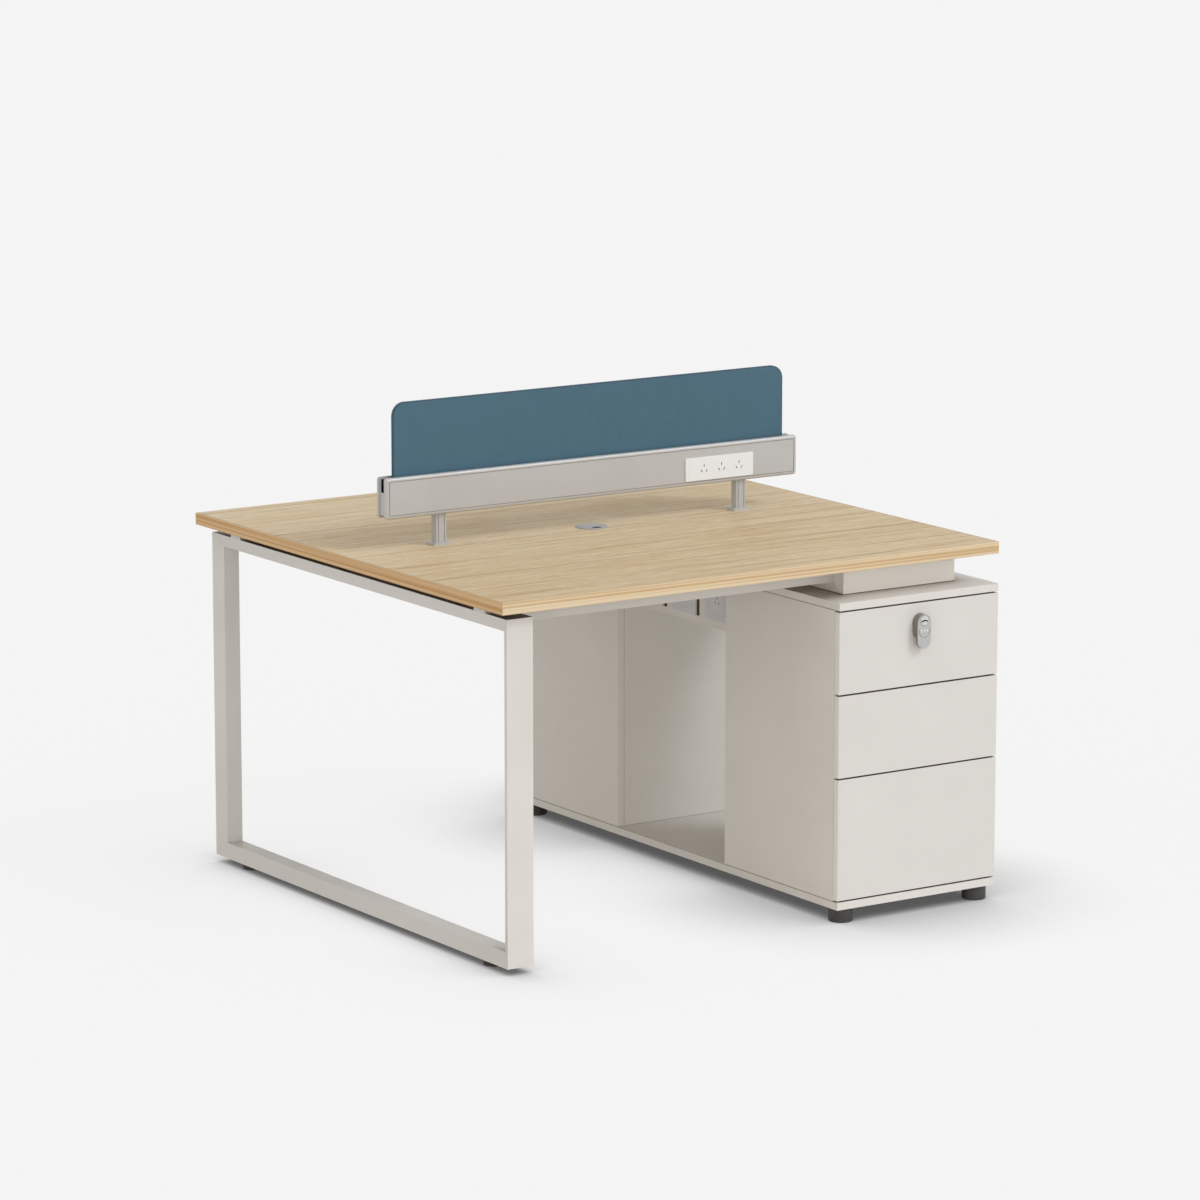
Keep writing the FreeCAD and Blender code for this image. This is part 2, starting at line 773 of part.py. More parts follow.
def drawer_levels():
    """Height of each drawer front as a (low, high) pair, by name."""
    top = (top_drawer_high - upper_drawer_h, top_drawer_high)
    middle = (top[0] - drawer_gap - upper_drawer_h, top[0] - drawer_gap)
    bottom = (inner_low + drawer_gap, middle[0] - drawer_gap)
    return {"bottom": bottom, "middle": middle, "top": top}


def box_height(front_z):
    return (front_z[0] + box_lift, front_z[1] - box_drop)


def slide_run():
    return (side_front + slide_setback, -bay_y - panel_t - slide_back_gap)


def slide_pair(front_z, layer, web_at_panel):
    """Left and right channel of one drawer; layer 0 is on the cabinet, 1 in the middle, 2 on the drawer."""
    step = slide_sheet + slide_play
    low, high = box_height(front_z)
    half_h = slide_h / 2 - layer * step
    depth = (layer * step, slide_t - step if web_at_panel else slide_t)
    hollow = (depth[0] + slide_sheet, depth[1] + cut_overrun)
    if not web_at_panel:
        hollow = (depth[0] - cut_overrun, depth[1] - slide_sheet)
    run = slide_run()
    middle = (low + high) / 2
    x = [cabinet_inner[0] + d for d in depth]
    hollow_x = [cabinet_inner[0] + d for d in hollow]
    over_run = (run[0] - cut_overrun, run[1] + cut_overrun)
    left = block(x, run, about(middle, 2 * half_h))
    left = left.cut(block(hollow_x, over_run, about(middle, 2 * (half_h - slide_sheet))))
    return [left, left.mirror(V(cabinet_mid, 0, 0), ACROSS)]


def drawer_front(front_z, has_lock):
    front = block(cabinet_x, (front_y, front_y + panel_t), front_z)
    if has_lock:
        front = front.cut(hole(V(cabinet_mid, front_y, knob_z), INWARD, panel_t, barrel_d + 2 * pin_play))
    return front


def drawer_box(front_z):
    """Sides, front, back and floor of the box, and the two slide channels on it."""
    x = (cabinet_inner[0] + slide_t, cabinet_inner[1] - slide_t)
    y = (front_y + panel_t, slide_run()[1])
    z = box_height(front_z)
    wall_z = (z[0] + box_floor_t, z[1])
    inner_x = (x[0] + box_side_t, x[1] - box_side_t)
    return [
        block((x[0], inner_x[0]), y, wall_z),
        block((inner_x[1], x[1]), y, wall_z),
        block(inner_x, (y[0], y[0] + box_side_t), wall_z),
        block(inner_x, (y[1] - box_side_t, y[1]), wall_z),
        block(x, y, (z[0], wall_z[0])),
    ] + slide_pair(front_z, 2, False)


# Lock and pull, made for the near top drawer

def obround(z, y, width):
    """Upright plate with fully round ends at the middle of the drawer."""
    r = width / 2
    plate = block(about(cabinet_mid, width), y, (z[0] + r, z[1] - r))
    ends = [rod(V(cabinet_mid, y[0], end_z), INWARD, y[1] - y[0], width) for end_z in (z[0] + r, z[1] - r)]
    return plate.fuse(ends).removeSplitter()


def dial_places():
    return [cabinet_mid + (k - (dial_count - 1) / 2) * dial_pitch for k in range(dial_count)]


def axle_span():
    return about(cabinet_mid, lock_w - 2 * axle_end_wall)


def lock_case():
    """Face plate with its pull, housing with the threaded barrel, barrel nut and dial axle."""
    split_y = lock_face + lock_plate_t
    plate = obround((lock_top - lock_h, lock_top), (lock_face, split_y), lock_w)
    plate = plate.makeFillet(lock_plate_t / 5, face_rim(plate, lock_face))
    housing_low = dial_z - dial_room_r - lock_floor
    housing = obround((housing_low, lock_top), (split_y, front_y), lock_w)
    barrel = rod(V(cabinet_mid, front_y, knob_z), INWARD, barrel_end - front_y, barrel_d)
    housing = housing.fuse(barrel)
    axle_x = axle_span()
    axle_length = axle_x[1] - axle_x[0]
    axle_start = V(axle_x[0], dial_y, dial_z)
    cutters = [rod(axle_start, ACROSS, axle_length, dial_axle_d + 2 * pin_play)]
    room_w = (dial_count - 1) * dial_pitch + dial_w + 2 * dial_end_gap
    cutters.append(rod(V(cabinet_mid - room_w / 2, dial_y, dial_z), ACROSS, room_w, 2 * dial_room_r))
    knob_seat = lock_face - knob_proud + knob_t
    recess_d = knob_d + 2 * loose_play
    recess_start = V(cabinet_mid, lock_face - cut_overrun, knob_z)
    cutters.append(rod(recess_start, INWARD, knob_seat - recess_start.y, recess_d))
    bore_d = spindle_d + 2 * pin_play
    cutters.append(hole(V(cabinet_mid, knob_seat, knob_z), INWARD, barrel_end - knob_seat, bore_d))
    nut = hexagon(V(0, 0, 0), barrel_nut_af, barrel_nut_h)
    nut = nut.cut(hole(V(0, 0, 0), UP, barrel_nut_h, barrel_d + 2 * pin_play))
    nut.rotate(V(0, 0, 0), ACROSS, -90)
    nut.translate(V(cabinet_mid, front_y + panel_t, knob_z))
    axle = rod(axle_start, ACROSS, axle_length, dial_axle_d)
    return [plate.cut(cutters + [dial_line()]), housing.cut(cutters), nut, axle]


def dial_line():
    """Line cut into the face, round under the dials and straight beside them."""
    rise = dial_line_d
    y = (lock_face - cut_overrun, lock_face + dial_line_depth)
    low = dial_z - dial_line_d / 2
    outer = obround((low, dial_z + rise), y, dial_line_d)
    inner = obround((low + dial_line_w, dial_z + rise), y, dial_line_d - 2 * dial_line_w)
    window_high = dial_z + sqrt(dial_room_r ** 2 - (dial_y - lock_face) ** 2)
    return outer.cut(inner).common(block(about(cabinet_mid, dial_line_d), y, (low, window_high)))


def lock_knob():
    """Thumb knob, spindle and cam; the cam lies sideways when the drawer is unlocked."""
    knob_y = lock_face - knob_proud
    centre = V(cabinet_mid, knob_y, knob_z)
    knob = rod(centre, INWARD, knob_t, knob_d)
    knob = knob.makeFillet(knob_proud / 2, face_rim(knob, knob_y))
    groove_centre = centre - V(0, 0, knob_groove_d / 2)
    groove = hole(groove_centre, INWARD, 0, knob_groove_d + knob_groove_w)
    groove = groove.cut(hole(groove_centre, INWARD, cut_overrun, knob_groove_d - knob_groove_w))
    reach_start = centre - V(0, cut_overrun, 0)
    reach = rod(reach_start, INWARD, cut_overrun + knob_groove_depth, knob_d - 2 * knob_groove_w)
    turn = radians(knob_dimple_turn)
    dimple_start = reach_start + V(-sin(turn), 0, cos(turn) - 1) * (knob_groove_d / 2)
    dimple = rod(dimple_start, INWARD, cut_overrun + knob_groove_depth, knob_dimple_d)
    knob = knob.cut([groove.common(reach), dimple])
    cam_y = barrel_end + loose_play
    spindle = rod(V(cabinet_mid, knob_y + knob_t, knob_z), INWARD, cam_y + cam_t - knob_y - knob_t, spindle_d)
    cam = block((cabinet_mid, cabinet_mid + cam_reach), (cam_y, cam_y + cam_t), about(knob_z, cam_w))
    cam = cam.fuse(rod(V(cabinet_mid, cam_y, knob_z), INWARD, cam_t, cam_w))
    return knob.fuse([spindle, cam]).removeSplitter()


def lock_dial(x):
    start = V(x - dial_w / 2, dial_y, dial_z)
    dial = rod(start, ACROSS, dial_w, dial_d)
    cutters = [hole(start, ACROSS, dial_w, dial_axle_d + 2 * pin_play)]
    for k in range(dial_notches):
        angle = 2 * pi * (k + 0.5) / dial_notches
        rim = start + V(0, cos(angle) * dial_d / 2, sin(angle) * dial_d / 2)
        cutters.append(hole(rim, ACROSS, dial_w, dial_notch_d))
    return dial.cut(cutters)


# Every piece is written to its own file

os.makedirs("parts", exist_ok=True)
save("desktop_board", desktop_board())
save("desktop_edge_bands", *edge_bands())
save("grommet_ring", grommet_ring())
save("grommet_cap", grommet_cap())
save("leg_near_post", leg_post(-1))
save("leg_far_post", leg_post(1))
save("leg_top_rail", leg_top_rail())
save("leg_bottom_rail", *leg_bottom_rail())
save("leg_near_glide", leg_glide(-1))
save("leg_far_glide", leg_glide(1))
save("desk_beams", desk_beam(-1), desk_beam(1))
save("beam_brackets", beam_bracket(-1), beam_bracket(1))
save("frame_screws", *frame_screws())
save("divider_core", divider_core())
save("divider_end_plugs", *divider_end_plugs())
save("divider_near_cover", divider_cover())
save("divider_far_cover", turned(divider_cover()))
save("divider_screen", divider_screen())
save("screen_gaskets", *screen_gaskets())
save("divider_posts", *[divider_post(x) for x in post_places()])
save("divider_post_bases", *[post_base(x) for x in post_places()])
save("divider_bolts", *divider_bolts())
save("power_modules", power_module(), turned(power_module()))
save("cabinet_base_board", cabinet_base_board())
save("cabinet_top_board", cabinet_top_board())
save("pedestal_sides", *pedestal_sides())
save("pedestal_backs", *pedestal_backs())
save("cabinet_riser", *cabinet_riser())
save("cabinet_feet", *[cabinet_foot(place) for place in foot_places()])
save("wiring_panel", wiring_panel())
save("wiring_plates", *wiring_plates())

slide_rails = []
for side in ("near", "far"):
    for level, front_z in drawer_levels().items():
        name = side + "_" + level
        slide_rails += on_side(side, slide_pair(front_z, 0, True))
        save(name + "_slide_carriages", *on_side(side, slide_pair(front_z, 1, True)))
        save(name + "_drawer_front", *on_side(side, [drawer_front(front_z, level == "top")]))
        save(name + "_drawer_box", *on_side(side, drawer_box(front_z)))
    save(side + "_lock_case", *on_side(side, lock_case()))
    save(side + "_lock_knob", *on_side(side, [lock_knob()]))
    for k, x in enumerate(dial_places()):
        save(side + "_lock_dial_" + str(k + 1), *on_side(side, [lock_dial(x)]))
save("drawer_slide_rails", *slide_rails)
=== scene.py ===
# %% [markdown]
# # An office workstation, dressed around its frame
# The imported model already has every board, tube and drawer in its true place and size.
# This lesson adds what makes them look real: oak, coated steel, cloth, light, and the small
# pieces that are too fine for the solids. Nothing of the frame is moved.

# %% Load the frame
import random
from math import cos, pi, radians, sin, sqrt

import bmesh
import bpy
from mathutils import Euler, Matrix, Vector


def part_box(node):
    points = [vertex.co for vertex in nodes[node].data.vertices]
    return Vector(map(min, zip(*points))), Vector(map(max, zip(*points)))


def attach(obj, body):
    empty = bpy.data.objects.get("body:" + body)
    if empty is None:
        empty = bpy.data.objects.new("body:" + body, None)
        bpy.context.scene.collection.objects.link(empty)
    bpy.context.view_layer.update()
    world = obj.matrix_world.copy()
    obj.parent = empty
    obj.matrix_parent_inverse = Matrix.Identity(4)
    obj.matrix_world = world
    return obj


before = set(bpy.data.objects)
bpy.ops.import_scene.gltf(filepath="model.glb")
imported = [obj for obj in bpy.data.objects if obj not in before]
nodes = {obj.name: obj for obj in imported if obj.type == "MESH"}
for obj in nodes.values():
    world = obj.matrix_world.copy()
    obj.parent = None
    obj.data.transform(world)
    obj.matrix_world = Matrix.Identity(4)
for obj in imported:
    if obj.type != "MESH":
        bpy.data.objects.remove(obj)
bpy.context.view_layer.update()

# %% [markdown]
# ## The camera
# The photograph was taken from the front left, a little above the top of the screen, with a long
# lens from far away, so upright edges stay almost parallel. A shifted lens could hold them exactly
# parallel, but a plain camera serves every other view as well. Its place and its lens were found
# by fitting the corners of the desktop, the cabinet and the screen. The image is square.

# %% Camera
view_from = Vector((-6.03400, -9.13977, 2.71081))
view_turn = radians(33.5266)
view_pitch = radians(-10.9316)
lens_mm = 161.2513
sensor_mm = 36
sight_end = 200

camera = bpy.data.objects.new("camera", bpy.data.cameras.new("camera"))
camera.data.lens = lens_mm
camera.data.sensor_width = sensor_mm
camera.data.clip_end = sight_end
camera.location = view_from
camera.rotation_euler = Euler((pi / 2 + view_pitch, 0, -view_turn))
bpy.context.scene.collection.objects.link(camera)
bpy.context.scene.camera = camera
bpy.context.scene.view_settings.view_transform = "Standard"
print("camera stands", round(view_from.length, 2), "m from the floor under the desk")

# %% [markdown]
# ## Colours and shader nodes in few words
# Colours are easiest to think of as 0 to 255, as a paint chart gives them, but shaders count in
# linear light, so one helper turns the first into the second. Nodes could be wired by hand in the
# node editor. As code they can be read from top to bottom, and helpers that add a node with its
# inputs already set or linked make a material read like a list of what it is made of.

# %% Helper for colours
def paint(red, green, blue):
    """A colour as 0 to 255, turned into the linear light that shaders use."""
    light = []
    for part in (red, green, blue):
        share = part / 255
        light.append(share / 12.92 if share <= 0.04045 else ((share + 0.055) / 1.055) ** 2.4)
    return (*light, 1.0)


print("white of the boards in linear light:", [round(part, 3) for part in paint(216, 213, 208)[:3]])

# %% Helpers for nodes
def put(socket, value):
    """Links a socket to another one, or sets it."""
    if isinstance(value, bpy.types.NodeSocket):
        socket.id_data.links.new(value, socket)
    else:
        socket.default_value = value


def add(tree, kind, settings=None, **inputs):
    """One shader node. An input's name is written with _ for a blank."""
    made = tree.nodes.new("ShaderNode" + kind)
    for name, value in (settings or {}).items():
        setattr(made, name, value)
    for name, value in inputs.items():
        put(made.inputs[name.replace("_", " ")], value)
    return made


def sums(tree, operation, *values):
    """A Math node on sockets or numbers; gives its output socket."""
    made = add(tree, "Math", {"operation": operation})
    for socket, value in zip(made.inputs, values):
        put(socket, value)
    return made.outputs[0]


def vectors(tree, operation, first, second):
    """A Vector Math node on two vectors; gives its outputs."""
    made = add(tree, "VectorMath", {"operation": operation})
    put(made.inputs[0], first)
    put(made.inputs[1], second)
    return made.outputs


print("node helpers: put, add, sums, vectors")

# %% Helpers for values and colours over a surface
def times(tree, *values):
    """Values multiplied. Of masks, this is what lies in all of them."""
    result = values[0]
    for value in values[1:]:
        result = sums(tree, "MULTIPLY", result, value)
    return result


def spread(tree, value, low, high, to_low=0.0, to_high=1.0):
    """A value from low to high, stretched to another range and kept inside it."""
    ends = {"From_Min": low, "From_Max": high, "To_Min": to_low, "To_Max": to_high}
    return add(tree, "MapRange", {"clamp": True}, Value=value, **ends).outputs["Result"]


def blend_colours(tree, mask, first, second):
    """First colour where the mask is 0, second where it is 1."""
    made = add(tree, "Mix", {"data_type": "RGBA"})
    put(made.inputs[0], mask)
    put(made.inputs[6], first)
    put(made.inputs[7], second)
    return made.outputs[2]


print("value helpers: times, spread, blend_colours")

# %% [markdown]
# ## Light
# Two shadows say where the main light is: the one of the divider on the desktop, and the slanting
# one inside the open bay. It stands to the right of the front, about 42 degrees up. The rest is
# even light from all sides, a little brighter towards the front left, and a long low lamp in front
# that reaches in under the top, where the riser and the beam are still bright in the photograph.
# Area lamps would fade towards the edges of the picture. A sun lamp with a wide angle and a world
# that glows light a floor of any size evenly, so these were chosen.

# %% What is seen straight
def seen_straight(tree):
    """A mask of the rays that come from the camera, also by way of gloss or glass."""
    seen = add(tree, "LightPath").outputs
    straight = sums(tree, "MAXIMUM", seen["Is Camera Ray"], seen["Is Glossy Ray"])
    return sums(tree, "MAXIMUM", straight, seen["Is Transmission Ray"])


def mix_shaders(tree, mask, first, second):
    """First shader where the mask is 0, second where it is 1."""
    made = add(tree, "MixShader")
    put(made.inputs[0], mask)
    put(made.inputs[1], first.outputs[0])
    put(made.inputs[2], second.outputs[0])
    return made.outputs[0]


background = paint(245, 245, 245)
print("background in linear light:", round(background[0], 3))

# %% Even light and low lamp
even_light = 0.585
even_colour = paint(255, 251, 245)
bright_side = (-0.45, -0.40, 0.0)
low_light = 1.5
low_light_rise = (0.1, 0.4)

world = bpy.data.worlds.new("studio")
world.use_nodes = True
bpy.context.scene.world = world
tree = world.node_tree
tree.nodes.clear()
direction = add(tree, "TexCoord").outputs["Generated"]
way = add(tree, "SeparateXYZ", Vector=direction).outputs
lean = vectors(tree, "DOT_PRODUCT", direction, bright_side)["Value"]
level = times(tree, sums(tree, "ADD", 1.0, lean), even_light)
in_front = sums(tree, "MAXIMUM", times(tree, way["Y"], -1.0), 0.0)
low_lamp = times(tree, in_front, spread(tree, way["Z"], *low_light_rise, low_light, 0.0))
lighting = add(tree, "Background", Color=even_colour, Strength=sums(tree, "ADD", level, low_lamp))
shown = add(tree, "Background", Color=background, Strength=1.0)
put(add(tree, "OutputWorld").inputs["Surface"], mix_shaders(tree, seen_straight(tree), lighting, shown))
print("even light", even_light, "and a low lamp of", low_light, "in front")

# %% Main light
main_light = 1.0
main_light_angle = radians(20)
main_light_colour = (0.95, 0.985, 1.02)
to_main_light = Vector((0.437, -0.607, 0.664))

sun = bpy.data.objects.new("main_light", bpy.data.lights.new("main_light", "SUN"))
sun.data.energy = main_light
sun.data.angle = main_light_angle
sun.data.color = main_light_colour
sun.rotation_euler = to_main_light.to_track_quat("Z", "Y").to_euler()
bpy.context.scene.collection.objects.link(sun)
print("on the top: main light", round(main_light / pi * to_main_light.z, 2), "even light", even_light)

# %% [markdown]
# ## Floor
# The floor is one large sheet, as pale as the background. A curved backdrop would do as well, but
# a flat sheet that ends far away looks the same from every side. Most of its paleness is its own
# glow, dimmed close to the object by a node that measures how open a place is. So the shadow on it
# stays as faint and as close as it is in the photograph.

# %% Floor sheet
floor_half = 60.0
floor_cells = 12
floor_mesh = bpy.data.meshes.new("floor")
shape = bmesh.new()
bmesh.ops.create_grid(shape, x_segments=floor_cells, y_segments=floor_cells, size=floor_half)
shape.to_mesh(floor_mesh)
shape.free()
ground = bpy.data.objects.new("floor", floor_mesh)
bpy.context.scene.collection.objects.link(ground)
print("floor", 2 * floor_half, "m wide")

# %% Floor cover
floor_glow = 0.92
floor_white = paint(250, 248, 245)
shade_reach = 0.38
shade_samples = 16
shade_range = (0.12, 0.97)
deepest_shade = 0.1
open_glow = 1.012


def openness(tree, reach, samples):
    """How open a place is within a reach: 0 where it is shut in, 1 where it is free."""
    return add(tree, "AmbientOcclusion", {"samples": samples}, Distance=reach).outputs["AO"]


floor_cover = bpy.data.materials.new("floor_cover")
floor_cover.use_nodes = True
tree = floor_cover.node_tree
tree.nodes.clear()
straight = seen_straight(tree)
matt = add(tree, "BsdfDiffuse", Color=blend_colours(tree, straight, floor_white, background))
open_sky = openness(tree, shade_reach, shade_samples)
glow_level = spread(tree, open_sky, *shade_range, deepest_shade, open_glow)
glow = add(tree, "Emission", Color=background, Strength=glow_level)
mixed = mix_shaders(tree, times(tree, straight, floor_glow), matt, glow)
put(add(tree, "OutputMaterial").inputs["Surface"], mixed)
floor_mesh.materials.append(floor_cover)
print("floor is dimmed within", shade_reach, "m of the object")

# %% [markdown]
# ## Masks by place
# A mask is 1 where something applies and 0 elsewhere. A painter would use tape, and a picture
# could be painted and wrapped round the piece. Here a mask is worked out from where a point lies
# and which way it faces in the piece's own axes: it is exact, and it moves with the piece.

# %% Helpers for masks
mostly = 0.5


def over(tree, value, limit):
    """A mask that is 1 where a value is over a limit."""
    return sums(tree, "GREATER_THAN", value, limit)


def under(tree, value, limit):
    """A mask that is 1 where a value is under a limit."""
    return sums(tree, "LESS_THAN", value, limit)


def inside(tree, value, low, high):
    """A mask that is 1 where a value lies between two limits."""
    return times(tree, over(tree, value, low), under(tree, value, high))


def away(tree, value):
    """A coordinate without its sign: how far it is from the middle."""
    return sums(tree, "ABSOLUTE", value)


def from_middle(tree, value, middle):
    """How far a coordinate is from a place, whichever side it is on."""
    return away(tree, sums(tree, "SUBTRACT", value, middle))


def object_place(tree):
    """The object's own coordinates in metres, as X, Y and Z."""
    return add(tree, "SeparateXYZ", Vector=add(tree, "TexCoord").outputs["Object"]).outputs


def object_facing(tree):
    """The way the surface faces in the object's own axes, as X, Y and Z."""
    return add(tree, "SeparateXYZ", Vector=add(tree, "TexCoord").outputs["Normal"]).outputs


print("a face looks along an axis if its normal's share is over", mostly)

# %% [markdown]
# ## Effects that several finishes share
# A shader node group is a recipe with named inputs. Each group here gives only masks and values
# over the surface; the shader itself stays in the material. Nodes could be copied into every
# material, but then a change would have to be made in each. The patterns lie in the object's own
# coordinates in metres, so a grain of half a millimetre is half a millimetre on every piece, and
# it moves with a drawer when the drawer slides.

# %% Helpers for groups
def new_group(name, inputs, outputs):
    """An empty node group with its sockets: inputs are (name, kind, value), outputs (name, kind)."""
    group = bpy.data.node_groups.new(name, "ShaderNodeTree")
    for label, kind, value in inputs:
        socket = group.interface.new_socket(label, in_out="INPUT", socket_type="NodeSocket" + kind)
        if value is not None:
            socket.default_value = value
    for label, kind in outputs:
        group.interface.new_socket(label, in_out="OUTPUT", socket_type="NodeSocket" + kind)
    return group, group.nodes.new("NodeGroupInput").outputs, group.nodes.new("NodeGroupOutput").inputs


def use(tree, group, **inputs):
    """A group placed in a material, with its own values; gives its outputs."""
    return add(tree, "Group", {"node_tree": group}, **inputs).outputs


print("group helpers: new_group, use")

# %% Helpers for noises
noise_span = (0.3, 0.7)


def sized_noise(tree, size, detail, **more):
    """A noise in the object's coordinates, with spots of a given size in metres."""
    place = add(tree, "TexCoord").outputs["Object"]
    per_metre = sums(tree, "DIVIDE", 1.0, size)
    return add(tree, "TexNoise", Vector=place, Scale=per_metre, Detail=detail, **more).outputs[0]


def pulled_noise(tree, place, rates, detail, **more):
    """A noise with its own number of waves to a metre on each axis."""
    stretched = vectors(tree, "MULTIPLY", place, rates)["Vector"]
    return add(tree, "TexNoise", Vector=stretched, Scale=1.0, Detail=detail, **more).outputs[0]


print("most of a noise lies between", *noise_span)

# %% [markdown]
# ### Skin of a coat
# Paint, melamine and moulded plastic are never mirror smooth: they have a fine skin of bumps, and
# a slight cloudiness where the coat is thicker. A picture of bumps could be tiled over a piece, but
# its repeats would show. Two noises never repeat: one at the size of the bumps and one at the size
# of a hand.

# %% Group: coat_skin
coat_skin, given, result = new_group(
    "coat_skin",
    [("Bump Size", "Float", 0.0008), ("Cloud Size", "Float", 0.15)],
    [("Height", "Float"), ("Cloud", "Float")],
)
bumps = sized_noise(coat_skin, given["Bump Size"], 2.0, Roughness=0.5)
clouds = sized_noise(coat_skin, given["Cloud Size"], 3.0, Roughness=0.55)
put(result["Height"], bumps)
put(result["Cloud"], spread(coat_skin, clouds, *noise_span))
print("group coat_skin:", len(coat_skin.nodes), "nodes")

# %% [markdown]
# ### Gloss of a used surface
# Hands and cloths polish a surface in soft patches. With one roughness all over, a piece would look
# like a sheet of film. The group turns a slow noise into a roughness between two named limits, with
# fine speckles in it so that a highlight breaks up a little.

# %% Group: patchy_gloss
patchy_gloss, given, result = new_group(
    "patchy_gloss",
    [("Smooth", "Float", 0.4), ("Rough", "Float", 0.55), ("Patch Size", "Float", 0.1)],
    [("Roughness", "Float")],
)
patches = sized_noise(patchy_gloss, given["Patch Size"], 5.0, Roughness=0.6)
span = sums(patchy_gloss, "SUBTRACT", given["Rough"], given["Smooth"])
share = spread(patchy_gloss, patches, *noise_span)
put(result["Roughness"], sums(patchy_gloss, "MULTIPLY_ADD", share, span, given["Smooth"]))
print("group patchy_gloss:", len(patchy_gloss.nodes), "nodes")

# %% [markdown]
# ### Rubbed and lit edges
# Edges are touched most, a coat is thinnest there, and they catch the light. In the coats the edge
# colour is lighter than the coat, which is partly wear and partly a painted highlight. The edges
# could be painted on the points of the mesh, but a flat board has points only at its corners. A
# Bevel node looks a little way round each edge; where its normal leaves the true one, there is an
# edge. A noise breaks the line, so that no edge is worn evenly from end to end.

# %% Group: edge_wear_and_highlight
edge_samples = 4
edge_bend = (0.01, 0.12)
edge_wear_and_highlight, given, result = new_group(
    "edge_wear_and_highlight",
    [("Width", "Float", 0.001), ("Break Size", "Float", 0.02)],
    [("Edge", "Float")],
)
rounded = add(edge_wear_and_highlight, "Bevel", {"samples": edge_samples}, Radius=given["Width"]).outputs[0]
true_normal = add(edge_wear_and_highlight, "NewGeometry").outputs["Normal"]
agreement = vectors(edge_wear_and_highlight, "DOT_PRODUCT", rounded, true_normal)["Value"]
bent = sums(edge_wear_and_highlight, "SUBTRACT", 1.0, agreement)
breaks = sized_noise(edge_wear_and_highlight, given["Break Size"], 4.0)
put(result["Edge"], times(edge_wear_and_highlight, spread(edge_wear_and_highlight, bent, *edge_bend), breaks))
print("group edge_wear_and_highlight:", len(edge_wear_and_highlight.nodes), "nodes")

# %% [markdown]
# ### Grain of wood
# The top is a board with a printed oak face: straight planks about fifteen centimetres wide, each
# with long streaks, short flecks, fine fibres and pores, and a thin brown line where it meets the
# next. A picture of wood could be wrapped on, but it would blur close up. Noises that are pulled
# out along the grain don't: they get many waves to a metre across it and few along it. Every plank
# starts its grain at another place, which a white noise on the plank's number gives.

# %% Group: wood_grain, its planks and noises
plank_jump = (9.0, 5.0)
broad_rate = (1.4, 26, 26)
narrow_rate = (2.6, 85, 85)
fleck_rate = (24, 130, 130)
fibre_rate = (9, 900, 900)
pore_rate = (45, 1500, 1500)
wander_rate = (2.5, 3, 3)

wood_grain, given, result = new_group(
    "wood_grain",
    [("Position", "Vector", None), ("Plank", "Float", 0.13), ("Shift", "Float", 0.0)],
    [("Streak", "Float"), ("Fibre", "Float"), ("Pore", "Float"), ("Line", "Float")],
)
tree = wood_grain
parts = add(tree, "SeparateXYZ", Vector=given["Position"]).outputs
across = sums(tree, "ADD", parts["Y"], given["Shift"])
count = sums(tree, "DIVIDE", across, given["Plank"])
number = sums(tree, "FLOOR", count)
chance = add(tree, "TexWhiteNoise", {"noise_dimensions": "1D"}, W=number).outputs["Value"]
along = sums(tree, "MULTIPLY_ADD", chance, plank_jump[0], parts["X"])
through = sums(tree, "MULTIPLY_ADD", chance, plank_jump[1], parts["Z"])
moved = add(tree, "CombineXYZ", X=along, Y=across, Z=through).outputs[0]
broad = pulled_noise(tree, moved, broad_rate, 3.0, Distortion=0.4)
narrow = pulled_noise(tree, moved, narrow_rate, 4.0)
flecks = pulled_noise(tree, moved, fleck_rate, 4.0, Roughness=0.65)
fibres = pulled_noise(tree, moved, fibre_rate, 2.0)
pores = pulled_noise(tree, moved, pore_rate, 1.0)
wander = pulled_noise(tree, moved, wander_rate, 3.0)
print("group wood_grain:", len(wood_grain.nodes), "nodes so far")

# %% Group: wood_grain, what it gives
middle_tone = 0.5
tone_weights = ((broad, 0.25), (narrow, 0.9), (flecks, 0.9), (chance, 0.12))
pore_range = (0.6, 0.72)
wander_range = (0.36, 0.64)
line_reach = (0.004, 0.034)
least_reach = 0.0005
line_sharpness = 2.0
thin_range = (0.3, 0.4)
thin_share = 0.3


def held(tree, value):
    """A value kept between 0 and 1."""
    return sums(tree, "MINIMUM", sums(tree, "MAXIMUM", value, 0.0), 1.0)


streak = middle_tone
for layer, weight in tone_weights:
    streak = sums(tree, "MULTIPLY_ADD", sums(tree, "SUBTRACT", layer, middle_tone), weight, streak)
reach = sums(tree, "ADD", spread(tree, wander, *wander_range, *line_reach), least_reach)
passed = sums(tree, "DIVIDE", sums(tree, "FRACT", count), reach)
line = held(tree, times(tree, sums(tree, "SUBTRACT", 1.0, passed), line_sharpness))
thin = times(tree, spread(tree, narrow, *thin_range, 1.0, 0.0), thin_share)
put(result["Streak"], held(tree, streak))
put(result["Fibre"], fibres)
put(result["Pore"], spread(tree, pores, *pore_range))
put(result["Line"], sums(tree, "MAXIMUM", line, thin))
print("group wood_grain:", len(wood_grain.nodes), "nodes")

# %% [markdown]
# ### Lines of a drawn profile
# Zinc sheet that is rolled, and any bar that is pulled through a die, keeps faint lines along the
# way it was drawn. Waves would give lines that are too even. One noise, stretched along the piece,
# gives both a height and a change of tone.

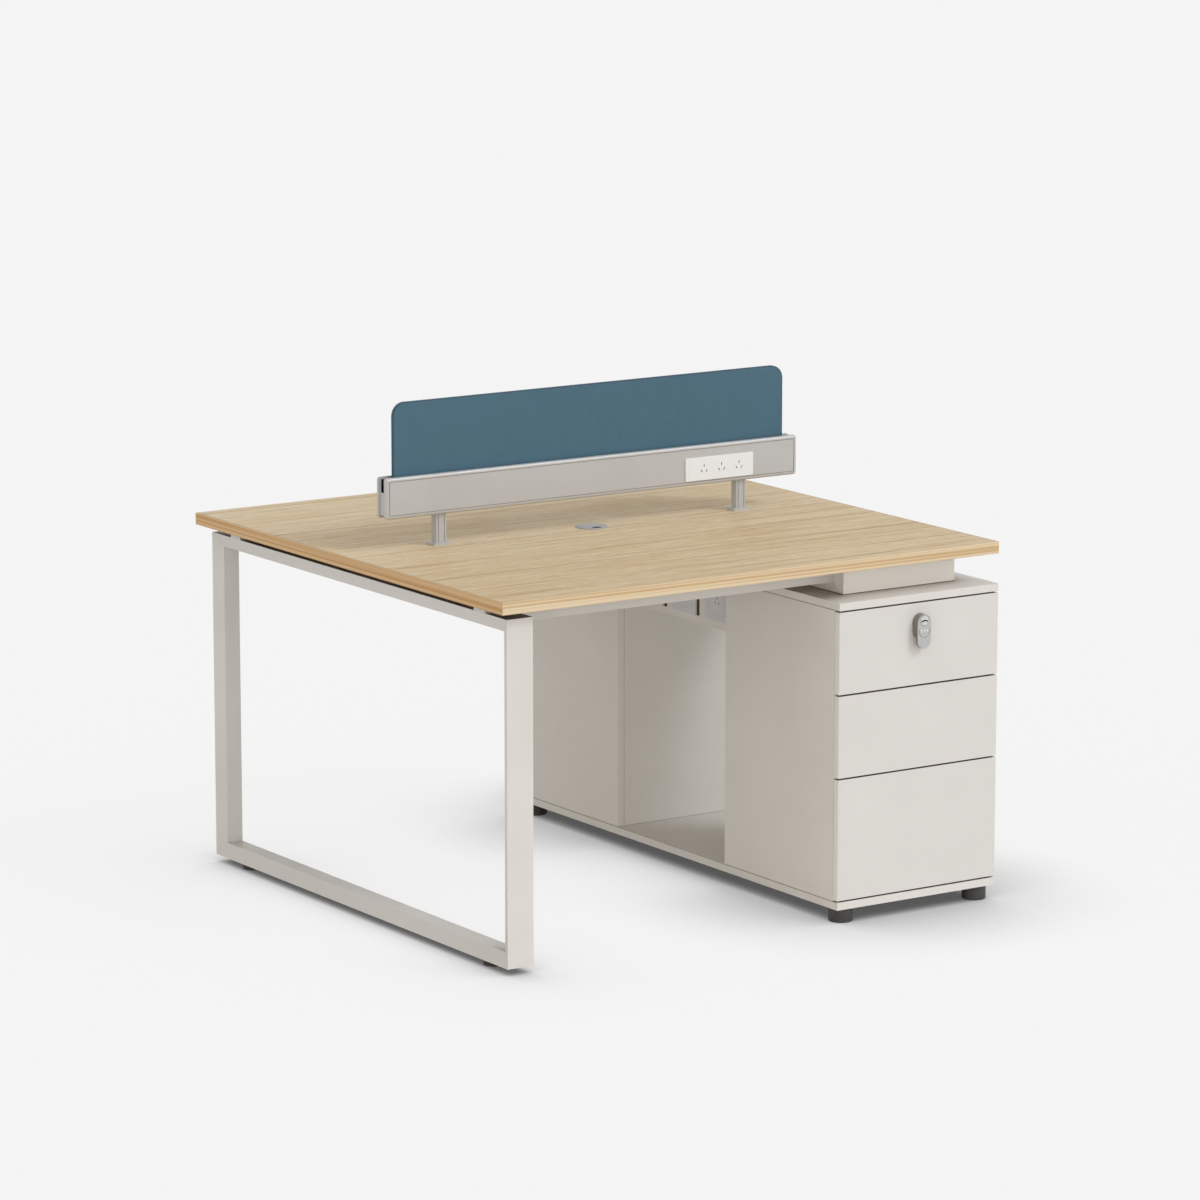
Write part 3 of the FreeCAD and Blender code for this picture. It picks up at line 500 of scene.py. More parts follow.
# %% Group: drawn_lines
drawn_lines, given, result = new_group(
    "drawn_lines",
    [("Position", "Vector", None), ("Line Size", "Float", 0.0006), ("Length", "Float", 0.4)],
    [("Height", "Float"), ("Tone", "Float")],
)
parts = add(drawn_lines, "SeparateXYZ", Vector=given["Position"]).outputs
slow = sums(drawn_lines, "DIVIDE", parts["X"], given["Length"])
quick_y = sums(drawn_lines, "DIVIDE", parts["Y"], given["Line Size"])
quick_z = sums(drawn_lines, "DIVIDE", parts["Z"], given["Line Size"])
pulled = add(drawn_lines, "CombineXYZ", X=slow, Y=quick_y, Z=quick_z).outputs[0]
lines = add(drawn_lines, "TexNoise", Vector=pulled, Scale=1.0, Detail=3.0).outputs[0]
put(result["Height"], lines)
put(result["Tone"], spread(drawn_lines, lines, *noise_span))
print("group drawn_lines:", len(drawn_lines.nodes), "nodes")

# %% [markdown]
# ### Threads of a cloth
# The screen is covered with a plain woven cloth. Real threads as meshes would need millions of
# faces, so the weave is a height. Two sets of waves, one along and one across, take turns to lie
# on top, as warp and weft do. A noise along each set of threads gives some of them another tone.

# %% Group: woven_threads
crossing = 0.3
warp_rate = (1100, 60, 25)
weft_rate = (25, 60, 1100)
woven_threads, given, result = new_group(
    "woven_threads",
    [("Thread", "Float", 0.0009)],
    [("Height", "Float"), ("Yarn", "Float")],
)
tree = woven_threads
place = object_place(tree)
turns = sums(tree, "DIVIDE", pi, given["Thread"])
warp_angle = times(tree, place["X"], turns)
weft_angle = times(tree, place["Z"], turns)
warp = away(tree, sums(tree, "SINE", warp_angle))
weft = away(tree, sums(tree, "SINE", weft_angle))
on_top = times(tree, sums(tree, "COSINE", warp_angle), sums(tree, "COSINE", weft_angle))
on_top = spread(tree, on_top, -crossing, crossing)
height = sums(tree, "MULTIPLY_ADD", on_top, sums(tree, "SUBTRACT", warp, weft), weft)
whole_place = add(tree, "TexCoord").outputs["Object"]
warp_yarn = pulled_noise(tree, whole_place, warp_rate, 2.0)
weft_yarn = pulled_noise(tree, whole_place, weft_rate, 2.0)
yarn = sums(tree, "MULTIPLY_ADD", on_top, sums(tree, "SUBTRACT", warp_yarn, weft_yarn), weft_yarn)
put(result["Height"], height)
put(result["Yarn"], spread(tree, yarn, *noise_span))
print("group woven_threads:", len(woven_threads.nodes), "nodes")

# %% [markdown]
# ### Painted shade in closed places
# Little light gets into narrow gaps and onto ledges close under a board, so they are painted
# darker, as painted shade. The dark could be drawn on as lines, but an Ambient Occlusion node finds
# such places by itself, because it measures how open a place is within a reach. When a drawer is
# pulled out, its gap is gone, and the dark of the gap goes with it. A painted line would stay.

# %% Group: crevice_shade
crevice_shade_samples = 8
crevice_shade, given, result = new_group(
    "crevice_shade",
    [("Reach", "Float", 0.1), ("Closed", "Float", 0.2), ("Open", "Float", 0.7), ("Strength", "Float", 0.9)],
    [("Crevice Shade", "Float")],
)
# painted shade: the less open a place is, the darker it is painted
around = openness(crevice_shade, given["Reach"], crevice_shade_samples)
painted_shade = spread(crevice_shade, around, given["Closed"], given["Open"], given["Strength"], 0.0)
put(result["Crevice Shade"], painted_shade)
print("group crevice_shade:", len(crevice_shade.nodes), "nodes")

# %% [markdown]
# ### Slots of an outlet
# The pins of a plug go into slots, and no light comes back out of them. The solids have the slots,
# but their thin walls still catch light. Sorting the faces of the walls into a second material
# would be tedious. Whatever lies below the face of an outlet and away from the rim of its plate is
# inside a slot, so a group makes the mask from the depth and the two offsets from the middle.

# %% Group: outlet_slot
slot_start = 0.0003
outlet_slot, given, result = new_group(
    "outlet_slot",
    [("Depth", "Float", 0.0), ("Beside", "Float", 0.0), ("Above", "Float", 0.0),
     ("Half Width", "Float", 0.02), ("Half Height", "Float", 0.02)],
    [("Slot", "Float")],
)
deep = over(outlet_slot, given["Depth"], slot_start)
in_width = under(outlet_slot, given["Beside"], given["Half Width"])
in_height = under(outlet_slot, given["Above"], given["Half Height"])
put(result["Slot"], times(outlet_slot, deep, in_width, in_height))
print("outlet slots start", slot_start * 1000, "mm under the face")

# %% [markdown]
# ## Finishes
# Each finish is one material with a Principled shader. The coats are alike in how they are made,
# so one function builds them, and each gets its own colours, skin, gloss and lighter edges, which
# are partly wear and partly painted highlight. What is special about a piece, such as a joint, or
# the painted shade in a groove, is stained over the coat afterwards.

# %% A finish, and what can be put on it
finishes = {}


def new_finish(slot, **constants):
    """A material with a Principled shader. Constants go on the shader's own sockets."""
    made = bpy.data.materials.new(slot + "_finish")
    made.use_nodes = True
    tree = made.node_tree
    tree.nodes.clear()
    shader = add(tree, "BsdfPrincipled", **constants)
    put(add(tree, "OutputMaterial").inputs["Surface"], shader.outputs[0])
    finishes[slot] = made
    return tree, shader.inputs


def reopen(slot):
    """A finish that is already made: its node tree and its shader's inputs."""
    tree = finishes[slot].node_tree
    return tree, tree.nodes["Principled BSDF"].inputs


def raise_surface(tree, shader, height, depth, strength=0.5):
    """Bump from a height between 0 and 1 that stands for a depth in metres."""
    bump = add(tree, "Bump", Height=height, Distance=depth, Strength=strength)
    put(shader["Normal"], bump.outputs[0])


def stain(tree, shader, mask, colour):
    """Puts another colour over what the shader has, where the mask is 1."""
    before = shader["Base Color"].links[0].from_socket
    put(shader["Base Color"], blend_colours(tree, mask, before, colour))


def gloss_patches(tree, shader, smooth, rough, size=0.1):
    """Gives a shader a roughness that changes in patches."""
    gloss = use(tree, patchy_gloss, Smooth=smooth, Rough=rough, Patch_Size=size)
    put(shader["Roughness"], gloss["Roughness"])


print("finishes so far:", len(finishes))

# %% A coated finish
edge_break = 20


def coated(slot, light, dark, edge_wear_and_highlight_colour, skin, depth, gloss, cloud=0.15, edge=0.001, **constants):
    """Paint, melamine or plastic: a cloudy colour, a fine skin, patchy gloss, and lighter edges that are
    partly wear and partly painted highlight.
    """
    tree, shader = new_finish(slot, **constants)
    surface = use(tree, coat_skin, Bump_Size=skin, Cloud_Size=cloud)
    colour = blend_colours(tree, surface["Cloud"], dark, light)
    edge_wear_and_light = use(tree, edge_wear_and_highlight, Width=edge, Break_Size=edge_break * edge)["Edge"]
    # the lighter edge colour is partly wear and partly a painted highlight along the edge
    put(shader["Base Color"], blend_colours(tree, edge_wear_and_light, colour, edge_wear_and_highlight_colour))
    gloss_patches(tree, shader, *gloss)
    raise_surface(tree, shader, surface["Height"], depth)
    return tree, shader


print("a rubbed edge breaks up every", edge_break, "widths")

# %% [markdown]
# ### White steel and white boards
# The leg and the beams are powder coated: the powder melts into a skin like that of an orange.
# The cabinet is melamine board: harder, flatter, with a fine pearl. Both are a warm white, not
# quite paper white. The fronts are painted a shade darker and cooler than the cabinet, as painted
# shade against the stronger light that falls on them. One white could serve all three, but close
# up their skins differ, so each has its own numbers.

# %% White finishes
coated("white_steel", paint(209, 207, 204), paint(205, 203, 199), paint(220, 218, 215),
       skin=0.0011, depth=0.00004, gloss=(0.34, 0.44))
coated("white_board", paint(216, 213, 208), paint(212, 209, 203), paint(224, 222, 218),
       skin=0.0005, depth=0.00004, gloss=(0.44, 0.56))
# painted shade: the fronts' white is darker than the cabinet's, against the stronger light on them
coated("front_board", paint(208, 206, 204), paint(205, 203, 201), paint(219, 217, 215),
       skin=0.0005, depth=0.00003, gloss=(0.42, 0.54))
print("finishes:", ", ".join(finishes))

# %% [markdown]
# ### Joints between the boards
# Where two boards meet there is always a hair of shadow and a little dust. The cabinet shows it
# above the base board, under the top board, and in the bay beside the edge of each side panel.
# Real gaps would have to be cut into the solids. A thin mask by position, at heights that come
# from the frame, draws the line on every board there and leaves the boards as they are.

# %% Joint lines on the white boards
joint_half = 0.0009
joint_colour = paint(126, 117, 105)
faint_seam = 0.45
side_board_t = 0.016
bay_half = 0.25
top_low, top_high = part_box("cabinet_top_board")
base_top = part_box("cabinet_base_board")[1].z
sides_low, sides_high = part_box("pedestal_sides")

tree, shader = reopen("white_board")
place = object_place(tree)
facing = object_facing(tree)
upright = under(tree, away(tree, facing["Z"]), mostly)
in_bay = under(tree, away(tree, place["Y"]), bay_half)
across_bay = times(tree, in_bay, over(tree, away(tree, facing["Y"]), mostly))
for height in (base_top, top_low.z):
    near_joint = inside(tree, place["Z"], height - joint_half, height + joint_half)
    stain(tree, shader, times(tree, near_joint, upright), joint_colour)
for seam in (sides_low.x + side_board_t, sides_high.x - side_board_t):
    near_joint = inside(tree, place["X"], seam - joint_half, seam + joint_half)
    stain(tree, shader, times(tree, near_joint, across_bay, faint_seam), joint_colour)
print("joint lines at heights", round(base_top, 3), "and", round(top_low.z, 3))

# %% [markdown]
# ### Upper boards, edge bands and slot walls
# The riser and the face of the cabinet's top are painted a brighter white than the rest: painted
# light, for the light that reaches in under the top. The front and back edges have a glued band of
# their own tone, and a dark line runs where the riser stands on the top. The slots of the wiring
# panel are sawn through the board, and their walls are painted dark brown. Four more materials
# could do this. Masks by place keep it in one, in the order in which the tones lie over each other:
# whatever is inside the panel's box, away from its skin, is a slot wall.

# %% Tones of the upper boards, bands and slots
sliver = 0.0001
painted_light_white = paint(236, 233, 228)
foot_colour = paint(104, 90, 72)
band_t = 0.001
band_colour = paint(210, 208, 205)
panel_skin = 0.0006
slot_wall_brown = paint(104, 84, 62)
riser_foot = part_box("cabinet_riser")[0].z
panel_low, panel_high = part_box("wiring_panel")

# painted light: the riser and the face of the top are painted brighter than the other boards
stain(tree, shader, over(tree, place["Z"], top_high.z - 2 * sliver), painted_light_white)
at_foot = inside(tree, place["Z"], riser_foot + sliver, riser_foot + 2 * joint_half)
stain(tree, shader, times(tree, at_foot, upright), foot_colour)
stain(tree, shader, over(tree, away(tree, place["Y"]), top_high.y - band_t), band_colour)
in_panel = times(
    tree,
    inside(tree, place["X"], panel_low.x + panel_skin, panel_high.x - panel_skin),
    inside(tree, place["Y"], panel_low.y + panel_skin, panel_high.y - panel_skin),
    inside(tree, place["Z"], panel_low.z + panel_skin, panel_high.z - panel_skin),
)
# the walls of the slots are painted dark brown
stain(tree, shader, in_panel, slot_wall_brown)
print("riser stands at height", round(riser_foot, 3))

# %% [markdown]
# ### Gaps between the drawer fronts
# Light hardly gets into a gap of three millimetres, so the edges there look nearly black, and they
# are painted dark as painted shade. The shade group looks only a few millimetres round, so it finds
# the gaps and leaves the faces clean. The two upright edges of a front have a lighter band.

# %% Painted shade in the gaps of the drawers
gap_reach = 0.006
gap_colour = paint(72, 65, 56)
band_facing = 0.7
front_band_colour = paint(222, 220, 212)

tree, shader = reopen("front_board")
on_band = over(tree, away(tree, object_facing(tree)["X"]), band_facing)
stain(tree, shader, on_band, front_band_colour)
gap_shade = use(tree, crevice_shade, Reach=gap_reach, Closed=0.25, Open=0.8, Strength=0.9)["Crevice Shade"]
# painted shade: the edges in the gaps between the fronts are painted dark
stain(tree, shader, gap_shade, gap_colour)
print("front_board looks", gap_reach * 1000, "mm round for gaps")

# %% [markdown]
# ### Painted shade under the top
# Where the top lies close above the leg's rail and above the cabinet, what faces up is painted dark
# brown: painted shade, with the brown light that the oak above throws on it. The same group, looking
# a hand's width round, finds those places; the way the surface faces keeps the walls unpainted.

# %% Painted shade on the rail and the cabinet
under_top_reach = 0.1
under_top_shade_strength = 0.85
under_top_shade_colour = paint(86, 65, 44)
under_top_shade_ranges = {"white_steel": (0.2, 0.65), "white_board": (0.05, 0.3)}


def faces_up(tree):
    """A mask of what faces up."""
    return over(tree, object_facing(tree)["Z"], mostly)


for slot, (closed, free) in under_top_shade_ranges.items():
    tree, shader = reopen(slot)
    under_top_shade = use(tree, crevice_shade, Reach=under_top_reach, Closed=closed, Open=free, Strength=under_top_shade_strength)
    # painted shade and painted brown bounce light on what faces up under the top
    stain(tree, shader, times(tree, faces_up(tree), under_top_shade["Crevice Shade"]), under_top_shade_colour)
print("dust is found within", under_top_reach, "m")

# %% [markdown]
# ### Plastics
# Moulded plastic shows the fine spark texture of its mould. The outlets are clean white, the
# plates in the bay a cool grey, the grommet a mid grey, and the feet and glides black with a
# little dust in the texture. They differ only in numbers, so the coat's function makes them all.

# %% Plastic finishes
coated("white_plastic", paint(227, 230, 234), paint(224, 227, 231), paint(235, 237, 240),
       skin=0.0003, depth=0.00002, gloss=(0.3, 0.42), cloud=0.04, edge=0.0005)
coated("plate_plastic", paint(204, 203, 206), paint(198, 197, 200), paint(215, 214, 217),
       skin=0.0003, depth=0.00002, gloss=(0.32, 0.45), cloud=0.04, edge=0.0005)
coated("grey_plastic", paint(160, 160, 162), paint(151, 151, 153), paint(178, 178, 179),
       skin=0.0004, depth=0.00003, gloss=(0.36, 0.5), cloud=0.02, edge=0.0005)
coated("black_plastic", paint(64, 62, 60), paint(52, 50, 48), paint(92, 90, 87),
       skin=0.0005, depth=0.00005, gloss=(0.45, 0.62), cloud=0.02, edge=0.0008)
coated("black_rubber", paint(34, 34, 35), paint(26, 26, 27), paint(52, 52, 52),
       skin=0.0006, depth=0.00006, gloss=(0.62, 0.8), cloud=0.02, edge=0.0005)
coated("dial_plastic", paint(222, 222, 220), paint(214, 214, 212), paint(232, 232, 230),
       skin=0.0002, depth=0.00002, gloss=(0.3, 0.42), cloud=0.006, edge=0.0003)
print("finishes:", len(finishes))

# %% [markdown]
# ### Dark slots of the outlets
# Each power module has three outlets in a row, and one of the plates in the bay has another. One
# module faces the near side of the desk and one the far side, so depth is counted along Y without
# its sign and one mask serves both. The plate faces the leg, so its depth is counted along X.

# %% Slots of the power modules
slot_colour = paint(34, 32, 31)
module_w = 0.172
module_end = 0.02
module_rim = 0.004
module_low, module_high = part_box("power_modules")
module_mid_x = module_high.x - module_w / 2
module_mid_z = (module_low.z + module_high.z) / 2

tree, shader = reopen("white_plastic")
place = object_place(tree)
depth = sums(tree, "SUBTRACT", module_high.y, away(tree, place["Y"]))
beside = from_middle(tree, away(tree, place["X"]), module_mid_x)
above = from_middle(tree, place["Z"], module_mid_z)
half_w = module_w / 2 - module_end
half_h = (module_high.z - module_low.z) / 2 - module_rim
slots = use(tree, outlet_slot, Depth=depth, Beside=beside, Above=above, Half_Width=half_w, Half_Height=half_h)
stain(tree, shader, slots["Slot"], slot_colour)
print("power modules at height", round(module_mid_z, 3))

# %% Slots of the outlet in the bay
plate_w = 0.086
plates_low, plates_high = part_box("wiring_plates")
outlet_y = plates_low.y + plate_w / 2
outlet_z = (plates_low.z + plates_high.z) / 2

tree, shader = reopen("plate_plastic")
place = object_place(tree)
depth = sums(tree, "SUBTRACT", place["X"], plates_low.x)
beside = from_middle(tree, place["Y"], outlet_y)
above = from_middle(tree, place["Z"], outlet_z)
half_w = plate_w / 4
slots = use(tree, outlet_slot, Depth=depth, Beside=beside, Above=above, Half_Width=half_w, Half_Height=half_w)
stain(tree, shader, slots["Slot"], slot_colour)
print("outlet in the bay at height", round(outlet_z, 3))

# %% [markdown]
# ### Metals
# The divider's profiles are aluminium with a satin silver coat, so part of the light comes from
# flakes in the coat and the rest from its grey. The lock is cast zinc with a blasted satin face.
# A fully metallic shader would mirror the floor on both, so they get only a share of it. Slides,
# bolts and screws are zinc plated: bright, with cloudy patches and faint rolling lines.

# %% Metal finishes
coated("silver_aluminium", paint(191, 191, 192), paint(185, 185, 186), paint(208, 208, 208),
       skin=0.0004, depth=0.00002, gloss=(0.36, 0.46), edge=0.0008, Metallic=0.25)
coated("lock_metal", paint(184, 185, 186), paint(177, 178, 179), paint(196, 197, 198),
       skin=0.0003, depth=0.00003, gloss=(0.36, 0.48), cloud=0.01, edge=0.0005, Metallic=0.3)
print("finishes:", len(finishes))

# %% Zinc plated steel
zinc_dark = paint(168, 171, 176)
zinc_light = paint(198, 200, 203)
rolling_colour = paint(150, 152, 157)
rolling_share = 0.3
rolling_depth = 0.00003

tree, shader = new_finish("zinc_steel", Metallic=0.9)
place = object_place(tree)
lengthwise = add(tree, "CombineXYZ", X=place["Y"], Y=place["X"], Z=place["Z"]).outputs[0]
rolled = use(tree, drawn_lines, Position=lengthwise, Line_Size=0.0007, Length=0.3)
patches = use(tree, coat_skin, Bump_Size=0.0008, Cloud_Size=0.012)
put(shader["Base Color"], blend_colours(tree, patches["Cloud"], zinc_dark, zinc_light))
stain(tree, shader, times(tree, rolled["Tone"], rolling_share), rolling_colour)
gloss_patches(tree, shader, smooth=0.26, rough=0.42, size=0.01)
raise_surface(tree, shader, rolled["Height"], rolling_depth, strength=0.4)
print("finish zinc_steel:", len(tree.nodes), "nodes")

# %% [markdown]
# ### Shadow in the divider's profiles
# A fine line is pressed round the cover of the divider, and a deep slot in its core holds the
# screen. Both are painted darker than the light alone would make them, as painted shade. The crevice
# shade group would find every corner beside them as well. So each mask is worked out from the box of
# the node that has the groove.

# %% Line of the cover and slot of the core
groove_shade = paint(146, 137, 128)
line_inset = (0.0069, 0.0083)
face_t = 0.002
slot_half = 0.0051
slot_depth = 0.026
slot_shade = paint(24, 24, 25)
cover_low, cover_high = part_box("divider_near_cover")
cover_mid_z = (cover_low.z + cover_high.z) / 2
core_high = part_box("divider_core")[1]

tree, shader = reopen("silver_aluminium")
place = object_place(tree)
sideways = away(tree, place["Y"])
from_end = sums(tree, "SUBTRACT", cover_high.x, away(tree, place["X"]))
from_rim = from_middle(tree, place["Z"], cover_mid_z)
from_rim = sums(tree, "SUBTRACT", cover_high.z - cover_mid_z, from_rim)
inset = sums(tree, "MINIMUM", from_end, from_rim)
on_face = over(tree, sideways, -cover_low.y - face_t)
# painted shade in the line round the cover
stain(tree, shader, times(tree, inside(tree, inset, *line_inset), on_face), groove_shade)
in_slot = under(tree, sideways, slot_half)
on_core_top = times(tree, faces_up(tree), under(tree, sideways, core_high.y - sliver))
high_up = over(tree, place["Z"], core_high.z - slot_depth)
# painted shade in the slot of the core and on the core's top beside it
stain(tree, shader, times(tree, high_up, sums(tree, "MAXIMUM", in_slot, on_core_top)), slot_shade)
print("cover line is inset by", line_inset, "m")

# %% [markdown]
# ### Shadow in the lock
# The lock's knob has a curved grip groove, a line runs under its three dials, and its sides turn
# away from the light. The sides, the grooves, the hollow round the dials, a ring round the knob and
# a soft margin beside the grip are painted darker, as painted shade. The solids have these grooves,
# and depth below the face finds them, as it does in the outlets.

# %% Sizes of the lock
lock_deep_shade = paint(24, 22, 21)
lock_line_shade = paint(108, 104, 100)
lock_side_shade = paint(114, 104, 93)
knob_bright = paint(212, 214, 214)
face_start = 0.0002
deepest = 0.01
case_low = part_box("near_lock_case")[0]
knob_low, knob_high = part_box("near_lock_knob")
knob_r = (knob_high.z - knob_low.z) / 2
knob_mid = Vector((knob_low.x + knob_r, knob_low.y, knob_low.z + knob_r))
knob_proud = case_low.y - knob_low.y
dial_low, dial_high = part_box("near_lock_dial_2")
dial_mid = (dial_low + dial_high) / 2
print("knob radius", round(knob_r * 1000, 1), "mm, proud by", round(knob_proud * 1000, 2), "mm")

# %% Side and knob of the lock
side_facing = (0.3, 0.7)
side_share = 0.8
knob_share = 0.7
grip_field = 0.93
grip_r = 0.012
grip_half = 0.0011
grip_shade_w = 0.0008
grip_shade_share = 0.75
grip_shade_field = 0.78


def round_distance(tree, first, second):
    """Distance from an axis, from the two offsets across it."""
    squared = times(tree, second, second)
    return sums(tree, "SQRT", sums(tree, "MULTIPLY_ADD", first, first, squared))


tree, shader = reopen("lock_metal")
place = object_place(tree)
depth = sums(tree, "SUBTRACT", -case_low.y, away(tree, place["Y"]))
aside = sums(tree, "SUBTRACT", place["X"], knob_mid.x)
from_knob = round_distance(tree, aside, sums(tree, "SUBTRACT", place["Z"], knob_mid.z))
square_on = away(tree, object_facing(tree)["Y"])
# painted shade on the sides of the lock, which turn away from the light
stain(tree, shader, spread(tree, square_on, *side_facing, side_share, 0.0), lock_side_shade)
stain(tree, shader, times(tree, under(tree, from_knob, knob_r), knob_share), knob_bright)
knob_sunk = inside(tree, depth, face_start - knob_proud, deepest)
# painted shade in the grip groove of the knob
stain(tree, shader, times(tree, knob_sunk, under(tree, from_knob, grip_field * knob_r)), lock_deep_shade)
below_grip = sums(tree, "SUBTRACT", place["Z"], knob_mid.z - grip_r)
from_grip = from_middle(tree, round_distance(tree, aside, below_grip), grip_r)
# painted shade in a soft margin beside the grip groove
grip_shade = spread(tree, from_grip, grip_half, grip_half + grip_shade_w, grip_shade_share, 0.0)
grip_shade = times(tree, grip_shade, under(tree, from_knob, grip_shade_field * knob_r), under(tree, depth, 0.0))
stain(tree, shader, grip_shade, lock_deep_shade)
print("grip groove is", round(2 * grip_half * 1000, 1), "mm wide")

# %% Line under the dials and ring round the knob
dial_line_r = 0.0137
dial_window = 0.9
ring_span = (1.02, 1.11)
ring_share = 0.7

from_dials = round_distance(tree, aside, sums(tree, "SUBTRACT", place["Z"], dial_mid.z))
sunk = inside(tree, depth, face_start, deepest)
# painted shade in the line under the dials, in the hollow round them, and in a ring round the knob
stain(tree, shader, times(tree, sunk, under(tree, from_dials, dial_line_r)), lock_line_shade)
stain(tree, shader, times(tree, sunk, under(tree, from_dials, dial_window * dial_line_r)), lock_deep_shade)
ring = inside(tree, from_knob, ring_span[0] * knob_r, ring_span[1] * knob_r)
stain(tree, shader, times(tree, ring, ring_share), lock_line_shade)
print("finish lock_metal:", len(tree.nodes), "nodes")

# %% [markdown]
# ### Drawer boxes
# The boxes inside are a light grey board, but the steel channels of the slides are screwed to
# their sides and belong to the same piece. A second material slot would need the mesh's faces
# sorted. Position tells them apart as well: whatever lies outside the box's own width is steel.

# %% Finish of the drawer boxes
channel_t = 0.0113
channel_colour = paint(182, 184, 188)
channel_metal = 0.9
channel_polish = -0.14
front_low, front_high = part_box("near_bottom_drawer_front")
box_low, box_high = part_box("near_bottom_drawer_box")
box_mid = (front_low.x + front_high.x) / 2
box_half = (box_high.x - box_low.x) / 2 - channel_t

tree, shader = coated("box_board", paint(214, 212, 208), paint(208, 206, 202), paint(222, 220, 217),
                      skin=0.0005, depth=0.00004, gloss=(0.42, 0.56))
steel = over(tree, from_middle(tree, object_place(tree)["X"], box_mid), box_half)
board_gloss = shader["Roughness"].links[0].from_socket
stain(tree, shader, steel, channel_colour)
put(shader["Metallic"], times(tree, steel, channel_metal))
put(shader["Roughness"], sums(tree, "MULTIPLY_ADD", steel, channel_polish, board_gloss))
print("drawer box is board within", round(box_half * 1000, 1), "mm of its middle")

# %% [markdown]
# ### Oak top
# The face is oak from the left to the right, so the grain runs along X. A colour ramp turns the
# streaks into three tones of oak, and fibres, pores and lines are laid over it one by one, as a
# printer lays inks. The underside is painted a plain dark brown, as painted shade under the top,
# and a dark seam of glue shows at each end, where the strips meet the face.

# %% Finish of the top
oak_tones = ((0.12, paint(206, 177, 130)), (0.5, paint(226, 206, 172)), (0.88, paint(236, 223, 197)))
fibre_range = (0.48, 0.64)
glue_w = 0.0011
pore_relief = 0.8
grain_depth = 0.00012
board_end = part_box("desktop_board")[1].x

tree, shader = new_finish("oak_board", IOR=1.45, Specular_IOR_Level=0.15)
place = add(tree, "TexCoord").outputs["Object"]
grain = use(tree, wood_grain, Position=place, Plank=0.15, Shift=0.031)
tones = add(tree, "ValToRGB", Fac=grain["Streak"])
ramp = tones.color_ramp
ramp.elements.new(oak_tones[1][0])
for element, (position, tone) in zip(ramp.elements, oak_tones):
    element.position = position
    element.color = tone
put(shader["Base Color"], tones.outputs[0])
# painted shade: the underside of the top is painted dark brown
underside_shade = under(tree, object_facing(tree)["Z"], -mostly)
glue = over(tree, away(tree, object_place(tree)["X"]), board_end - glue_w)
edge_wear_and_light = use(tree, edge_wear_and_highlight, Width=0.0008, Break_Size=0.03)["Edge"]
layers = (
    (spread(tree, grain["Fibre"], *fibre_range), 0.46, paint(190, 160, 114)),
    (grain["Pore"], 0.55, paint(160, 123, 76)),
    (grain["Line"], 0.88, paint(150, 110, 64)),
    (underside_shade, 0.85, paint(118, 94, 69)),
    (glue, 0.75, paint(104, 78, 52)),
    (edge_wear_and_light, 0.5, paint(160, 126, 88)),
)
for mask, strength, colour in layers:
    stain(tree, shader, times(tree, mask, strength), colour)
gloss_patches(tree, shader, smooth=0.42, rough=0.56, size=0.12)
relief = sums(tree, "SUBTRACT", grain["Fibre"], times(tree, grain["Pore"], pore_relief))
raise_surface(tree, shader, relief, grain_depth)
print("finish oak_board:", len(tree.nodes), "nodes")

# %% [markdown]
# ### Edge strips of the top
# The edge strips are a yellower wood with bold even stripes. On the front and the back they run
# along X, and on the two sides along Y, as a strip is always glued on along its own length. Two
# materials could do it, but the normal of the surface says which of the two it is.

# %% Finish of the edge strips
end_facing = 0.7
end_shift = 3.0
stripe_rate = (0.5, 190, 1)
fine_rate = (5, 1300, 1)
stripe_range = (0.4, 0.62)
fine_range = (0.4, 0.7)
fine_share = 0.22
fine_colour = paint(190, 148, 98)
fine_depth = 0.00008

tree, shader = new_finish("oak_edge", IOR=1.45, Specular_IOR_Level=0.3)
place = object_place(tree)
end_strip = over(tree, away(tree, object_facing(tree)["X"]), end_facing)
other_way = sums(tree, "SUBTRACT", place["Y"], place["X"])
lengthwise = sums(tree, "MULTIPLY_ADD", end_strip, other_way, place["X"])
crosswise = sums(tree, "MULTIPLY_ADD", end_strip, end_shift, place["Z"])
strip_place = add(tree, "CombineXYZ", X=lengthwise, Y=crosswise, Z=0.0).outputs[0]
stripes = pulled_noise(tree, strip_place, stripe_rate, 1.0)
fine = pulled_noise(tree, strip_place, fine_rate, 3.0)
pale_band = blend_colours(tree, end_strip, paint(214, 198, 170), paint(212, 181, 138))
deep_band = blend_colours(tree, end_strip, paint(193, 164, 124), paint(186, 145, 94))
band = spread(tree, stripes, *stripe_range)
put(shader["Base Color"], blend_colours(tree, band, pale_band, deep_band))
stain(tree, shader, times(tree, spread(tree, fine, *fine_range), fine_share), fine_colour)
gloss_patches(tree, shader, smooth=0.4, rough=0.52, size=0.05)
raise_surface(tree, shader, fine, fine_depth, strength=0.4)
print("finish oak_edge:", len(tree.nodes), "nodes")

# %% [markdown]
# ### Blue cloth of the screen
# The screen is a thin board covered with a matt grey-blue cloth. Cloth has a soft sheen at a low
# angle from the fibre ends; that is one number on the shader. The weave gives the bump, and the
# yarn a slight change of colour from thread to thread. The hollows between the threads are painted
# darker, as painted shade. Round the rim the cloth is pulled tight and looks darker.

# %% Finish of the screen
yarn_dark = paint(70, 104, 124)
yarn_light = paint(80, 113, 131)
cloth_layers = {"Cloud": (0.3, paint(71, 102, 120)), "Pit Shade": (0.35, paint(46, 76, 95))}
weave_depth = 0.0003

